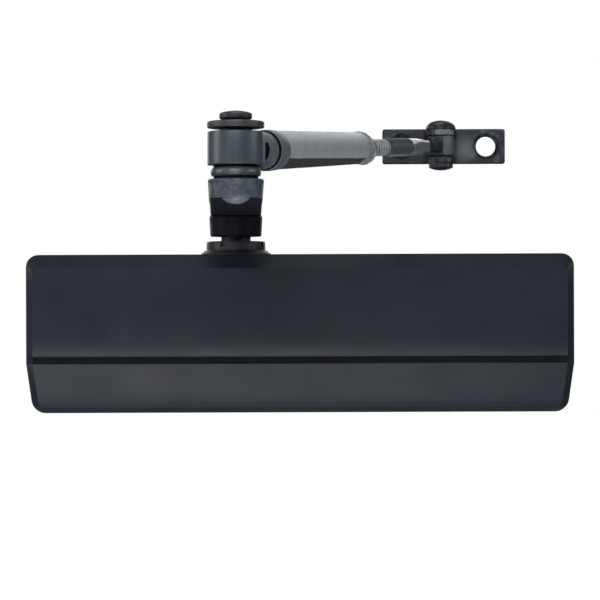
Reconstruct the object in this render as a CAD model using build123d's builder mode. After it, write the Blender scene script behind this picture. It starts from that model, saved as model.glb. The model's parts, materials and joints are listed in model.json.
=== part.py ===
from build123d import *
import os
from math import acos, atan2, cos, degrees, pi, radians, sin, tan

# A surface-mounted hydraulic door closer with a regular double-lever arm.
# Millimetres. The origin is the centre of the closer's back plane, which lies on the door;
# +X runs along the cover, -Y points out of the door and +Z is up.

# ---------------------------------------------------------------- driving dimensions
# Cover
cover_length = 300.0
cover_height = 86.8
cover_depth = 60.0
cover_wall = 2.2
cover_back_gap = 0.5  # the rim stands this far off the door
cover_corner_radius = 6.0
cover_side_taper = 3.6  # each end leans in by this much below the groove
top_bevel = (6.0, 7.7)  # depth, height
bottom_bevel = (3.9, 3.1)
groove_z = -13.3
groove_half_height = 1.4
groove_depth = 1.6
lower_panel_lean = 2.2

# Spindle, and the closer body built around it
spindle_x = -35.7
axis_y = -30.0  # the cylinder's axis and the spindle's axis share this depth
plate_length = 280.0
plate_height = 76.0
plate_thickness = 4.0
plate_bolt_spacing = (260.0, 40.0)
plate_bolt_radius = 3.25
housing_length = 236.0
housing_depth = 52.0
housing_height = 60.0
housing_corner_radius = 8.0
cylinder_radius = 19.0
turret_radius = 18.5
turret_top = 39.6
turret_bore_radius = 15.0
housing_screw_spacing = (180.0, 40.0)
housing_screw_radius = 2.7
housing_screw_length = 16.0
screw_head_radius = 5.5
screw_head_height = 2.8
screw_hole_margin = 1.0  # the tapped holes run this far past the screws
fit = 0.05  # radial clearance of a running fit
end_gap = 0.1  # end play between faces that turn on each other
overcut = 1.0  # cuts that open a face start this far outside it

# Spring clips on the mounting plate that hold the cover
clip_width = 14.0
clip_base = 10.0
clip_leg = 20.0
clip_gauge = 1.5
clip_clearance = 0.2  # between each clip and the inside of the cover

# Rack and pinion
gear_module = 1.8
pinion_teeth = 10
pressure_angle = radians(25)
pinion_addendum = 1.6
rack_addendum = 1.5
dedendum = 2.0
backlash = 0.25
pinion_face = 36.0
pitch_radius = gear_module * pinion_teeth / 2
tooth_pitch = pi * gear_module
tooth_thickness = tooth_pitch / 2 - backlash / 2
piston_travel = pitch_radius * pi  # half a turn of the spindle

# Piston
piston_left = -100.0
piston_right = 0.0
slot_end_clearance = 13.1  # from the spindle's axis to the end of the piston's slot
slot_back_clearance = 11.5
rack_teeth_left = 7
rack_teeth_right = 2
piston_groove_depth = 1.6
piston_groove_width = 3.0

check_valve_radius = 5.0
check_valve_length = 12.0

# Spring and its adjuster
spring_seat_left = 84.0
spring_seat_thickness = 10.0
spring_seat_radius = 18.5
spring_wire_radius = 2.3
spring_coil_radius = 14.5
spring_turns = 9
adjuster_radius = 5.0
adjuster_left = 60.0
adjuster_collar = (8.0, 3.8)  # radius, length
adjuster_socket_radius = 3.0
socket_depth = 5.0

# End caps, with a flange outside and a seal groove inside the cylinder
cap_length = 14.0
cap_flange = (21.0, 3.0)  # radius, thickness
seal_width = 2.4
seal_depth = 1.6
seal_inset = 3.0  # from the cap's inner face to its seal groove
spanner_hole_radius = 2.5
spanner_hole_spacing = 26.0

# Regulating valves, in the right end of the housing: (y, z) of each
valve_radius = 3.0
valve_bore_length = 20.0
valve_length = 18.0
valve_places = {"sweep": (-12.0, 23.0), "latch": (-12.0, -23.0), "backcheck": (-48.0, 23.0)}
valve_slot = (1.0, 1.2)  # width, depth
valve_seal = (1.8, 0.9)  # width, depth

# Spindle and its caps
journal_radius = 8.3
square_size = 11.0
spindle_shoulder = 53.6
spindle_top = 71.0
spindle_bottom = -39.4
lower_square_top = -38.0
bearing_radius = 11.95
bearing_height = 8.0
bearing_start = 28.2
shaft_seal_height = 2.4
cap_start = 28.0
collar_radius = 16.4
collar_top = 51.0
collar_chamfer = 0.8
trim_radius = 19.4
trim_height = 2.5
trim_chamfer = 1.6
lower_cap_flange = (17.0, 1.0)  # radius, thickness
lower_hole_radius = 15.0

# Main arm
hub_radius = 14.9
hub_bottom = 53.8
arm_top = 73.9
arm_thickness = 8.7
elbow = (-29.3, -248.0)
elbow_end_radius = 12.9
arm_screw_radius = 3.2
arm_screw_length = 14.0
arm_washer_radius = 9.0
arm_washer_height = 1.6
arm_screw_head = (6.5, 3.9)  # radius over the corners, height

# Elbow joint, from the arm upwards
elbow_pin_radius = 5.0
pin_tail = (7.0, 3.2)  # radius, height
pin_head = (7.6, 5.0)
spacer_hub_radius = 10.4
spacer_ring = (11.7, 75.2, 79.2)  # radius, bottom, top
eye_bottom = 80.4
eye_top = 95.7
eye_radius = 13.15
bush_radius = 6.95
spring_washer = (7.6, 97.2)  # radius, top
elbow_washer_size = (13.2, 100.4)

# Forearm, measured along its own axis from the elbow
shoe_pin_place = (80.2, -12.0, 105.2)
neck_drop = 1.3  # the forearm's axis leaves the elbow this far below the eye's middle
shank_radius = 6.55
shank_end = 60.0
ferrule_radius = 9.8
ferrule_span = (25.8, 40.0)
tube_radii = (9.3, 8.2)
tube_end = 141.0
tube_bore_radius = 6.6
nose_end = 154.0
nose_tip_radius = 5.7
nose_spigot_start = 130.0
rod_radius = 4.95
rod_start = 100.0
rod_end = 210.0
rod_neck = (7.0, 7.0)  # width, height of the flattened stretch
rod_neck_corner = 1.0
rod_eye_radius = 7.5
rod_eye_height = 11.6

# Shoe
shoe_centre_x = 82.4
shoe_rise = 0.45  # the plate's middle stands this far above the rod's eye
shoe_length = 70.0
shoe_height = 19.9
shoe_thickness = 4.0
shoe_corner_radius = 1.5
shoe_hole_spacing = 48.2
shoe_hole_radius = 5.6
shoe_countersink_radius = 7.6
ear_radius = 9.0
ear_thickness = 3.1
upper_ear_drop = 1.2  # the upper ear stands this far below the plate's top edge
shoe_pin_radius = 4.0
shoe_pin_head = (8.4, 5.4)
shoe_pin_tail = (6.85, 4.25)

# ---------------------------------------------------------------- derived places
cover_top = cover_height / 2
cover_half = cover_length / 2
housing_half = housing_length / 2
groove_top = groove_z + groove_half_height
groove_bottom = groove_z - groove_half_height
pitch_line_y = axis_y - pitch_radius
spindle_centre = (spindle_x, axis_y)
arm_direction = Vector(elbow[0] - spindle_x, elbow[1] - axis_y, 0)
arm_length = arm_direction.length
arm_plane = Plane(origin=(spindle_x, axis_y, 0), x_dir=arm_direction, z_dir=(0, 0, 1))
elbow_centre = Vector(*elbow, (eye_bottom + eye_top) / 2 - neck_drop)
forearm_direction = (Vector(*shoe_pin_place) - elbow_centre).normalized()
forearm_side = Vector(0, 0, 1).cross(forearm_direction).normalized()
forearm_plane = Plane(origin=elbow_centre, x_dir=forearm_side, z_dir=forearm_direction)
pin_to_pin = (Vector(*shoe_pin_place) - elbow_centre).length
cylinder_axis = Plane.YZ  # local x is Y and local y is Z; offsets run along X


# ---------------------------------------------------------------- helpers
def ring(centre, bottom, top, outer, inner):
    """A plain ring standing upright, between two heights."""
    with BuildPart() as piece:
        with BuildSketch(Plane.XY.offset(bottom)):
            with Locations(centre):
                Circle(outer)
                Circle(inner, mode=Mode.SUBTRACT)
        extrude(amount=top - bottom)
    return piece


def cap_shape(base_radius, height):
    """A spherical cap that stands on the XY plane."""
    sphere_radius = (base_radius**2 + height**2) / (2 * height)
    centre_height = height - sphere_radius
    start = degrees(atan2(-centre_height, base_radius))
    with BuildPart() as cap:
        with BuildSketch(Plane.XZ):
            with BuildLine():
                Line((0, 0), (base_radius, 0))
                CenterArc((0, centre_height), sphere_radius, start, 90 - start)
                Line((0, height), (0, 0))
            make_face()
        revolve(axis=Axis.Z)
    return cap.part


def headed_pin(centre, bottom, top, radius, head, tail):
    """A riveted pin: a plain shank with a domed head above and a domed tail below."""
    head_dome = cap_shape(*head)
    tail_dome = cap_shape(*tail)
    with BuildPart() as pin:
        with BuildSketch(Plane.XY.offset(bottom)):
            with Locations(centre):
                Circle(radius)
        extrude(amount=top - bottom)
        with Locations((*centre, top)):
            add(head_dome)
        with Locations(Location((*centre, bottom), (180, 0, 0))):
            add(tail_dome)
    return pin


def cover_block(section, inset):
    """A solid with the cover's section along its length and its front outline, drawn in by inset."""
    front = [
        (-cover_half, cover_top),
        (cover_half, cover_top),
        (cover_half, groove_bottom),
        (cover_half - cover_side_taper, -cover_top),
        (-cover_half + cover_side_taper, -cover_top),
        (-cover_half, groove_bottom),
    ]
    with BuildPart() as block:
        with BuildSketch(Plane.YZ):
            with BuildLine():
                Polyline(section, close=True)
            make_face()
        extrude(amount=cover_half, both=True)
        with BuildSketch(Plane.XZ) as outline:
            with BuildLine():
                Polyline(front, close=True)
            make_face()
            corners = outline.vertices().group_by(Axis.Y)
            fillet(corners[0] + corners[-1], cover_corner_radius)
            if inset:
                offset(amount=-inset)
        extrude(amount=cover_depth, mode=Mode.INTERSECT)
    return block.part


def involute(angle):
    """The involute function."""
    return tan(angle) - angle


def pinion_outline():
    """The pinion's outline, with one tooth pointing along -Y towards the rack."""
    base_radius = pitch_radius * cos(pressure_angle)
    tip_radius = pitch_radius + pinion_addendum
    root_radius = pitch_radius - dedendum
    half_tooth = tooth_thickness / (2 * pitch_radius)
    flank_steps = 5
    flank = [(root_radius, half_tooth + involute(pressure_angle))]
    for step in range(flank_steps + 1):
        radius = base_radius + (tip_radius - base_radius) * step / flank_steps
        roll = acos(min(1.0, base_radius / radius))
        flank.append((radius, half_tooth + involute(pressure_angle) - involute(roll)))
    points = []
    for tooth in range(pinion_teeth):
        middle = -pi / 2 + 2 * pi * tooth / pinion_teeth
        for radius, angle in flank:
            points.append((radius * cos(middle - angle), radius * sin(middle - angle)))
        for radius, angle in reversed(flank):
            points.append((radius * cos(middle + angle), radius * sin(middle + angle)))
    return points


def rack_slot_outline():
    """The piston's slot in plan, with the rack's teeth along its front side."""
    left = spindle_x - piston_travel - slot_end_clearance
    right = spindle_x + slot_end_clearance
    back = axis_y + slot_back_clearance
    root = pitch_line_y - dedendum
    tip = pitch_line_y + rack_addendum
    half_root = tooth_thickness / 2 + dedendum * tan(pressure_angle)
    half_tip = tooth_thickness / 2 - rack_addendum * tan(pressure_angle)
    points = [(left, back), (left, root)]
    for tooth in range(-rack_teeth_left, rack_teeth_right):
        middle = spindle_x + (tooth + 0.5) * tooth_pitch
        points.append((middle - half_root, root))
        points.append((middle - half_tip, tip))
        points.append((middle + half_tip, tip))
        points.append((middle + half_root, root))
    return points + [(right, root), (right, back)]


# ---------------------------------------------------------------- cover and fixing
outer_section = [
    (-cover_back_gap, cover_top),
    (-cover_depth + top_bevel[0], cover_top),
    (-cover_depth, cover_top - top_bevel[1]),
    (-cover_depth, groove_top),
    (-cover_depth + groove_depth, groove_top - groove_half_height / 2),
    (-cover_depth + groove_depth, groove_bottom + groove_half_height / 2),
    (-cover_depth + groove_depth / 4, groove_bottom),
    (-cover_depth + lower_panel_lean, -cover_top + bottom_bevel[1]),
    (-cover_depth + lower_panel_lean + bottom_bevel[0], -cover_top),
    (-cover_back_gap, -cover_top),
]
inner_section = [
    (0, cover_top - cover_wall),
    (-cover_depth + top_bevel[0] + cover_wall / 2, cover_top - cover_wall),
    (-cover_depth + cover_wall, cover_top - top_bevel[1] - cover_wall / 2),
    (-cover_depth + cover_wall, groove_top + cover_wall / 2),
    (-cover_depth + groove_depth + cover_wall, groove_top - groove_half_height / 2),
    (-cover_depth + groove_depth + cover_wall, groove_bottom),
    (-cover_depth + lower_panel_lean + cover_wall, -cover_top + bottom_bevel[1] + cover_wall / 2),
    (-cover_depth + lower_panel_lean + bottom_bevel[0] + cover_wall / 2, -cover_top + cover_wall),
    (0, -cover_top + cover_wall),
]
cover_outside = cover_block(outer_section, 0)
cover_cavity = cover_block(inner_section, cover_wall)

with BuildPart() as cover_shell:
    add(cover_outside)
    add(cover_cavity, mode=Mode.SUBTRACT)
    with BuildSketch(Plane.XY.offset(cover_top)):
        with Locations(spindle_centre):
            Circle(collar_radius + 2 * fit)
    extrude(amount=-2 * cover_wall, mode=Mode.SUBTRACT)
    with BuildSketch(Plane.XY.offset(-cover_top)):
        with Locations(spindle_centre):
            Circle(lower_hole_radius)
    extrude(amount=2 * cover_wall, mode=Mode.SUBTRACT)

screw_columns = (-housing_screw_spacing[0] / 2, housing_screw_spacing[0] / 2)
screw_rows = (-housing_screw_spacing[1] / 2, housing_screw_spacing[1] / 2)
back_plane = Plane(origin=(0, 0, 0), x_dir=(1, 0, 0), z_dir=(0, 1, 0))
with BuildPart() as mounting_plate:
    with BuildSketch(Plane.XZ):
        RectangleRounded(plate_length, plate_height, cover_corner_radius)
        with GridLocations(*plate_bolt_spacing, 2, 2):
            Circle(plate_bolt_radius, mode=Mode.SUBTRACT)
    extrude(amount=plate_thickness)
    with Locations(back_plane):
        with GridLocations(*housing_screw_spacing, 2, 2):
            CounterSinkHole(housing_screw_radius + fit, screw_head_radius + fit, plate_thickness)

with BuildPart() as one_housing_screw:
    with BuildSketch(Plane.XY):
        with BuildLine():
            Polyline(
                (0, 0),
                (screw_head_radius, 0),
                (housing_screw_radius, -screw_head_height),
                (housing_screw_radius, -housing_screw_length),
                (0, -housing_screw_length),
                close=True,
            )
        make_face()
    revolve(axis=Axis.Y)
with BuildPart() as housing_screws:
    with Locations(*[(x, 0, z) for x in screw_columns for z in screw_rows]):
        add(one_housing_screw.part)

clip_outer = cover_half - cover_wall - clip_clearance
with BuildPart() as cover_clips:
    with BuildSketch(Plane.XY.offset(-clip_width / 2)):
        with BuildLine():
            Polyline(
                (clip_outer - clip_base, -plate_thickness),
                (clip_outer, -plate_thickness),
                (clip_outer, -plate_thickness - clip_leg),
                (clip_outer - clip_gauge, -plate_thickness - clip_leg),
                (clip_outer - clip_gauge, -plate_thickness - clip_gauge),
                (clip_outer - clip_base, -plate_thickness - clip_gauge),
                close=True,
            )
        make_face()
    extrude(amount=clip_width)
    mirror(about=Plane.YZ)

# ---------------------------------------------------------------- housing and end caps
with BuildPart() as housing:
    with BuildSketch(cylinder_axis):
        with Locations((axis_y, 0)):
            RectangleRounded(housing_depth, housing_height, housing_corner_radius)
    extrude(amount=housing_half, both=True)
    with BuildSketch(Plane.XY.offset(-turret_top)):
        with Locations(spindle_centre):
            Circle(turret_radius)
    extrude(amount=2 * turret_top)
    with BuildSketch(cylinder_axis):
        with Locations((axis_y, 0)):
            Circle(cylinder_radius)
    extrude(amount=housing_half, both=True, mode=Mode.SUBTRACT)
    with BuildSketch(Plane.XY.offset(-turret_top)):
        with Locations(spindle_centre):
            Circle(turret_bore_radius)
    extrude(amount=2 * turret_top, mode=Mode.SUBTRACT)
    with BuildSketch(cylinder_axis.offset(housing_half)):
        with Locations(*valve_places.values()):
            Circle(valve_radius + fit)
    extrude(amount=-valve_bore_length, mode=Mode.SUBTRACT)
    with BuildSketch(Plane.XZ.offset(plate_thickness)):
        with GridLocations(*housing_screw_spacing, 2, 2):
            Circle(housing_screw_radius + fit)
    extrude(amount=housing_screw_length - plate_thickness + screw_hole_margin, mode=Mode.SUBTRACT)


def end_cap(outward, centre_hole):
    """A flanged plug for one end of the cylinder; outward is -1 on the left and 1 on the right."""
    mouth = outward * housing_half
    inside = mouth - outward * cap_length
    outside = mouth + outward * cap_flange[1]
    groove_start = inside + outward * seal_inset
    with BuildPart() as cap:
        with BuildSketch(cylinder_axis.offset(min(inside, mouth))):
            with Locations((axis_y, 0)):
                Circle(cylinder_radius - fit)
        extrude(amount=cap_length)
        with BuildSketch(cylinder_axis.offset(min(mouth, outside))):
            with Locations((axis_y, 0)):
                Circle(cap_flange[0])
        extrude(amount=cap_flange[1])
        with BuildSketch(cylinder_axis.offset(groove_start)):
            with Locations((axis_y, 0)):
                Circle(cylinder_radius)
                Circle(cylinder_radius - seal_depth, mode=Mode.SUBTRACT)
        extrude(amount=outward * seal_width, mode=Mode.SUBTRACT)
        with BuildSketch(cylinder_axis.offset(outside)):
            with Locations((axis_y, 0)):
                with GridLocations(spanner_hole_spacing, 0, 2, 1):
                    Circle(spanner_hole_radius)
        extrude(amount=-outward * socket_depth, mode=Mode.SUBTRACT)
        if centre_hole:
            with BuildSketch(cylinder_axis.offset(inside)):
                with Locations((axis_y, 0)):
                    Circle(centre_hole)
            extrude(amount=outward * (cap_length + cap_flange[1]), mode=Mode.SUBTRACT)
    return cap


left_end_cap = end_cap(-1, 0)
right_end_cap = end_cap(1, adjuster_radius + fit)

with BuildPart() as end_cap_seals:
    for outward in (-1, 1):
        groove_start = outward * (housing_half - cap_length + seal_inset)
        with BuildSketch(cylinder_axis.offset(groove_start)):
            with Locations((axis_y, 0)):
                Circle(cylinder_radius - fit)
                Circle(cylinder_radius - seal_depth + fit, mode=Mode.SUBTRACT)
        extrude(amount=outward * seal_width)


def valve(place):
    """A slotted regulating screw with a seal groove, flush with the housing's right end."""
    with BuildPart() as screw:
        with BuildSketch(cylinder_axis.offset(housing_half - valve_length)):
            with Locations(place):
                Circle(valve_radius)
        extrude(amount=valve_length)
        with BuildSketch(cylinder_axis.offset(housing_half - valve_length / 2)):
            with Locations(place):
                Circle(valve_radius)
                Circle(valve_radius - valve_seal[1], mode=Mode.SUBTRACT)
        extrude(amount=valve_seal[0], mode=Mode.SUBTRACT)
        with BuildSketch(cylinder_axis.offset(housing_half)):
            with Locations(place):
                Rectangle(valve_slot[0], 2 * valve_radius)
        extrude(amount=-valve_slot[1], mode=Mode.SUBTRACT)
    return screw


def valve_ring(place):
    """The sealing ring in a regulating screw's groove."""
    with BuildPart() as seal:
        with BuildSketch(cylinder_axis.offset(housing_half - valve_length / 2)):
            with Locations(place):
                Circle(valve_radius)
                Circle(valve_radius - valve_seal[1] + fit, mode=Mode.SUBTRACT)
        extrude(amount=valve_seal[0])
    return seal


valves = {f"{name}_valve": valve(place) for name, place in valve_places.items()}
valve_seals = {f"{name}_valve_seal": valve_ring(place) for name, place in valve_places.items()}

# ---------------------------------------------------------------- piston and spring
with BuildPart() as piston:
    with BuildSketch(cylinder_axis.offset(piston_left)):
        with Locations((axis_y, 0)):
            Circle(cylinder_radius - fit)
    extrude(amount=piston_right - piston_left)
    with BuildSketch(Plane.XY.offset(-cylinder_radius)):
        with BuildLine():
            Polyline(rack_slot_outline(), close=True)
        make_face()
    extrude(amount=2 * cylinder_radius, mode=Mode.SUBTRACT)
    with BuildSketch(cylinder_axis.offset(piston_left + piston_groove_width)):
        with Locations((axis_y, 0)):
            Circle(cylinder_radius)
            Circle(cylinder_radius - piston_groove_depth, mode=Mode.SUBTRACT)
    extrude(amount=piston_groove_width, mode=Mode.SUBTRACT)
    with BuildSketch(cylinder_axis.offset(piston_right)):
        with Locations((axis_y, 0)):
            Circle(check_valve_radius)
    extrude(amount=-check_valve_length, mode=Mode.SUBTRACT)

with BuildPart() as piston_seal:
    with BuildSketch(cylinder_axis.offset(piston_left + piston_groove_width)):
        with Locations((axis_y, 0)):
            Circle(cylinder_radius - fit)
            Circle(cylinder_radius - piston_groove_depth + fit, mode=Mode.SUBTRACT)
    extrude(amount=piston_groove_width)

with BuildPart() as check_valve:
    with BuildSketch(cylinder_axis.offset(piston_right - check_valve_length)):
        with Locations((axis_y, 0)):
            Circle(check_valve_radius - fit)
    extrude(amount=check_valve_length)
    with BuildSketch(cylinder_axis.offset(piston_right)):
        with Locations((axis_y, 0)):
            Circle(check_valve_radius / 3)
    extrude(amount=-check_valve_length / 2, mode=Mode.SUBTRACT)

spring_start = piston_right + spring_wire_radius + fit
spring_length = spring_seat_left - spring_wire_radius - fit - spring_start
with BuildPart() as main_spring:
    with BuildLine() as coil:
        Helix(
            pitch=spring_length / spring_turns,
            height=spring_length,
            radius=spring_coil_radius,
            center=(spring_start, axis_y, 0),
            direction=(1, 0, 0),
        )
    with BuildSketch(Plane(origin=coil.line @ 0, z_dir=coil.line % 0)):
        Circle(spring_wire_radius)
    sweep(path=coil.line, is_frenet=True)

with BuildPart() as spring_seat:
    with BuildSketch(cylinder_axis.offset(spring_seat_left)):
        with Locations((axis_y, 0)):
            Circle(spring_seat_radius)
            Circle(adjuster_radius + fit, mode=Mode.SUBTRACT)
    extrude(amount=spring_seat_thickness)

cap_inside = housing_half - cap_length
with BuildPart() as spring_adjust_screw:
    with BuildSketch(cylinder_axis.offset(adjuster_left)):
        with Locations((axis_y, 0)):
            Circle(adjuster_radius)
    extrude(amount=housing_half + cap_flange[1] - adjuster_left)
    with BuildSketch(cylinder_axis.offset(cap_inside - end_gap)):
        with Locations((axis_y, 0)):
            Circle(adjuster_collar[0])
    extrude(amount=-adjuster_collar[1])
    with BuildSketch(cylinder_axis.offset(housing_half + cap_flange[1])):
        with Locations((axis_y, 0)):
            RegularPolygon(adjuster_socket_radius, 6)
    extrude(amount=-socket_depth, mode=Mode.SUBTRACT)

# ---------------------------------------------------------------- spindle, bearings and caps
with BuildPart() as pinion_shaft:
    with BuildSketch(Plane(origin=(spindle_x, axis_y, -pinion_face / 2))):
        with BuildLine():
            Polyline(pinion_outline(), close=True)
        make_face()
    extrude(amount=pinion_face)
    with BuildSketch(Plane.XY.offset(lower_square_top)):
        with Locations(spindle_centre):
            Circle(journal_radius)
    extrude(amount=-pinion_face / 2 - lower_square_top)
    with BuildSketch(Plane.XY.offset(pinion_face / 2)):
        with Locations(spindle_centre):
            Circle(journal_radius)
    extrude(amount=spindle_shoulder - pinion_face / 2)
    with BuildSketch(arm_plane.offset(spindle_bottom)):
        Rectangle(square_size, square_size)
    extrude(amount=lower_square_top - spindle_bottom)
    with BuildSketch(arm_plane.offset(spindle_shoulder)):
        Rectangle(square_size, square_size)
    extrude(amount=spindle_top - spindle_shoulder)
    with BuildSketch(Plane.XY.offset(spindle_top)):
        with Locations(spindle_centre):
            Circle(arm_screw_radius + fit)
    extrude(amount=-arm_screw_length, mode=Mode.SUBTRACT)

seal_start = bearing_start + bearing_height + fit


def pinion_cap(sign, end):
    """The threaded ring that closes one of the housing's turrets and holds a bearing."""
    low, high = sorted((sign * cap_start, sign * end))
    with BuildPart() as cap:
        with BuildSketch(Plane.XY.offset(low)):
            with Locations(spindle_centre):
                Circle(turret_bore_radius - fit)
        extrude(amount=high - low)
        if sign > 0:
            with BuildSketch(Plane.XY.offset(turret_top)):
                with Locations(spindle_centre):
                    Circle(collar_radius)
            extrude(amount=end - turret_top)
            chamfer(cap.edges().group_by(Axis.Z)[-1], collar_chamfer)
        with BuildSketch(Plane.XY.offset(low)):
            with Locations(spindle_centre):
                Circle(journal_radius + 2 * fit)
        extrude(amount=high - low, mode=Mode.SUBTRACT)
        pocket_low, pocket_high = sorted((sign * cap_start, sign * (seal_start + shaft_seal_height)))
        with BuildSketch(Plane.XY.offset(pocket_low)):
            with Locations(spindle_centre):
                Circle(bearing_radius + fit)
        extrude(amount=pocket_high - pocket_low, mode=Mode.SUBTRACT)
    return cap


upper_pinion_cap = pinion_cap(1, collar_top)
lower_pinion_cap = pinion_cap(-1, turret_top)
bearing_end = bearing_start + bearing_height
bearing_bore = journal_radius + fit
upper_bearing = ring(spindle_centre, bearing_start, bearing_end, bearing_radius, bearing_bore)
lower_bearing = ring(spindle_centre, -bearing_end, -bearing_start, bearing_radius, bearing_bore)

with BuildPart() as shaft_seals:
    for low in (seal_start, -seal_start - shaft_seal_height):
        with BuildSketch(Plane.XY.offset(low)):
            with Locations(spindle_centre):
                Circle(bearing_radius)
                Circle(bearing_bore, mode=Mode.SUBTRACT)
        extrude(amount=shaft_seal_height)

with BuildPart() as spindle_trim_ring:
    with BuildSketch(Plane.XY.offset(cover_top)):
        with Locations(spindle_centre):
            Circle(trim_radius)
            Circle(collar_radius + 2 * fit, mode=Mode.SUBTRACT)
    extrude(amount=trim_height)
    outer_edges = spindle_trim_ring.edges().group_by(Axis.Z)[-1].sort_by(SortBy.RADIUS)
    chamfer(outer_edges[-1], trim_chamfer)

with BuildPart() as lower_spindle_cap:
    with BuildSketch(Plane.XY.offset(-cover_top + end_gap)):
        with Locations(spindle_centre):
            Circle(lower_hole_radius - 2 * fit)
    extrude(amount=cover_wall - end_gap)
    with BuildSketch(Plane.XY.offset(-cover_top + cover_wall)):
        with Locations(spindle_centre):
            Circle(lower_cap_flange[0])
    extrude(amount=lower_cap_flange[1])

# ---------------------------------------------------------------- main arm and elbow
with BuildPart() as main_arm:
    with BuildSketch(arm_plane.offset(arm_top - arm_thickness)):
        Circle(hub_radius)
        with Locations((arm_length, 0)):
            Circle(elbow_end_radius)
        make_hull()
    extrude(amount=arm_thickness)
    with BuildSketch(arm_plane.offset(hub_bottom)):
        Circle(hub_radius)
    extrude(amount=arm_top - hub_bottom)
    with BuildSketch(arm_plane.offset(hub_bottom)):
        Rectangle(square_size + 2 * fit, square_size + 2 * fit)
    extrude(amount=arm_top - hub_bottom, mode=Mode.SUBTRACT)
    with BuildSketch(arm_plane.offset(arm_top)):
        with Locations((arm_length, 0)):
            Circle(elbow_pin_radius + fit)
    extrude(amount=-arm_thickness, mode=Mode.SUBTRACT)

washer_top = arm_top + arm_washer_height
arm_washer = ring(spindle_centre, arm_top, washer_top, arm_washer_radius, arm_screw_radius + fit)

with BuildPart() as arm_screw:
    with BuildSketch(Plane.XY.offset(spindle_top - arm_screw_length)):
        with Locations(spindle_centre):
            Circle(arm_screw_radius)
    extrude(amount=washer_top - spindle_top + arm_screw_length)
    with BuildSketch(Plane.XY.offset(washer_top)):
        with Locations(spindle_centre):
            RegularPolygon(arm_screw_head[0], 6)
    extrude(amount=arm_screw_head[1])

elbow_pin = headed_pin(
    elbow, arm_top - arm_thickness, elbow_washer_size[1], elbow_pin_radius, pin_head, pin_tail
)

pin_bore = elbow_pin_radius + fit
with BuildPart() as elbow_spacer:
    with BuildSketch(Plane.XY.offset(arm_top)):
        with Locations(elbow):
            Circle(spacer_hub_radius)
    extrude(amount=eye_bottom - end_gap - arm_top)
    with BuildSketch(Plane.XY.offset(spacer_ring[1])):
        with Locations(elbow):
            Circle(spacer_ring[0])
    extrude(amount=spacer_ring[2] - spacer_ring[1])
    with BuildSketch(Plane.XY.offset(arm_top)):
        with Locations(elbow):
            Circle(pin_bore)
    extrude(amount=eye_bottom - arm_top, mode=Mode.SUBTRACT)

elbow_spring_washer = ring(elbow, eye_top + end_gap, spring_washer[1], spring_washer[0], pin_bore)
elbow_washer = ring(elbow, spring_washer[1], elbow_washer_size[1], elbow_washer_size[0], pin_bore)

# ---------------------------------------------------------------- forearm
elbow_bush = ring(elbow, eye_bottom, eye_top, bush_radius, pin_bore)

with BuildPart() as forearm_eye:
    with BuildSketch(forearm_plane):
        Circle(shank_radius)
    extrude(amount=shank_end)
    with BuildSketch(Plane.XY.offset(eye_bottom)):
        with Locations(elbow):
            Circle(eye_radius)
    extrude(amount=eye_top - eye_bottom)
    with BuildSketch(Plane.XY.offset(eye_bottom - overcut)):
        with Locations(elbow):
            Circle(bush_radius + fit)
    extrude(amount=eye_top - eye_bottom + 2 * overcut, mode=Mode.SUBTRACT)

with BuildPart() as forearm_ferrule:
    with BuildSketch(forearm_plane.offset(ferrule_span[0])):
        Circle(ferrule_radius)
        Circle(shank_radius + fit, mode=Mode.SUBTRACT)
    extrude(amount=ferrule_span[1] - ferrule_span[0])

with BuildPart() as forearm_tube:
    with BuildSketch(forearm_plane.offset(ferrule_span[1])):
        Circle(tube_radii[0])
    with BuildSketch(forearm_plane.offset(tube_end)):
        Circle(tube_radii[1])
    loft()
    with BuildSketch(forearm_plane.offset(ferrule_span[1])):
        Circle(tube_bore_radius)
    extrude(amount=tube_end - ferrule_span[1], mode=Mode.SUBTRACT)

with BuildPart() as tube_nose:
    with BuildSketch(forearm_plane.offset(tube_end)):
        Circle(tube_radii[1])
    with BuildSketch(forearm_plane.offset(nose_end)):
        Circle(nose_tip_radius)
    loft()
    with BuildSketch(forearm_plane.offset(nose_spigot_start)):
        Circle(tube_bore_radius - fit)
    extrude(amount=tube_end - nose_spigot_start)
    with BuildSketch(forearm_plane.offset(nose_spigot_start)):
        Circle(rod_radius + fit)
    extrude(amount=nose_end - nose_spigot_start, mode=Mode.SUBTRACT)

shoe_pin_centre = shoe_pin_place[:2]
rod_eye_low = shoe_pin_place[2] - rod_eye_height / 2
with BuildPart() as adjust_rod:
    with BuildSketch(forearm_plane.offset(rod_start)):
        Circle(rod_radius)
    extrude(amount=rod_end - rod_start)
    with BuildSketch(forearm_plane.offset(rod_end)):
        RectangleRounded(*rod_neck, rod_neck_corner)
    extrude(amount=pin_to_pin - rod_end)
    with BuildSketch(Plane.XY.offset(rod_eye_low)):
        with Locations(shoe_pin_centre):
            Circle(rod_eye_radius)
    extrude(amount=rod_eye_height)
    with BuildSketch(Plane.XY.offset(rod_eye_low - overcut)):
        with Locations(shoe_pin_centre):
            Circle(shoe_pin_radius + fit)
    extrude(amount=rod_eye_height + 2 * overcut, mode=Mode.SUBTRACT)

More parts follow.
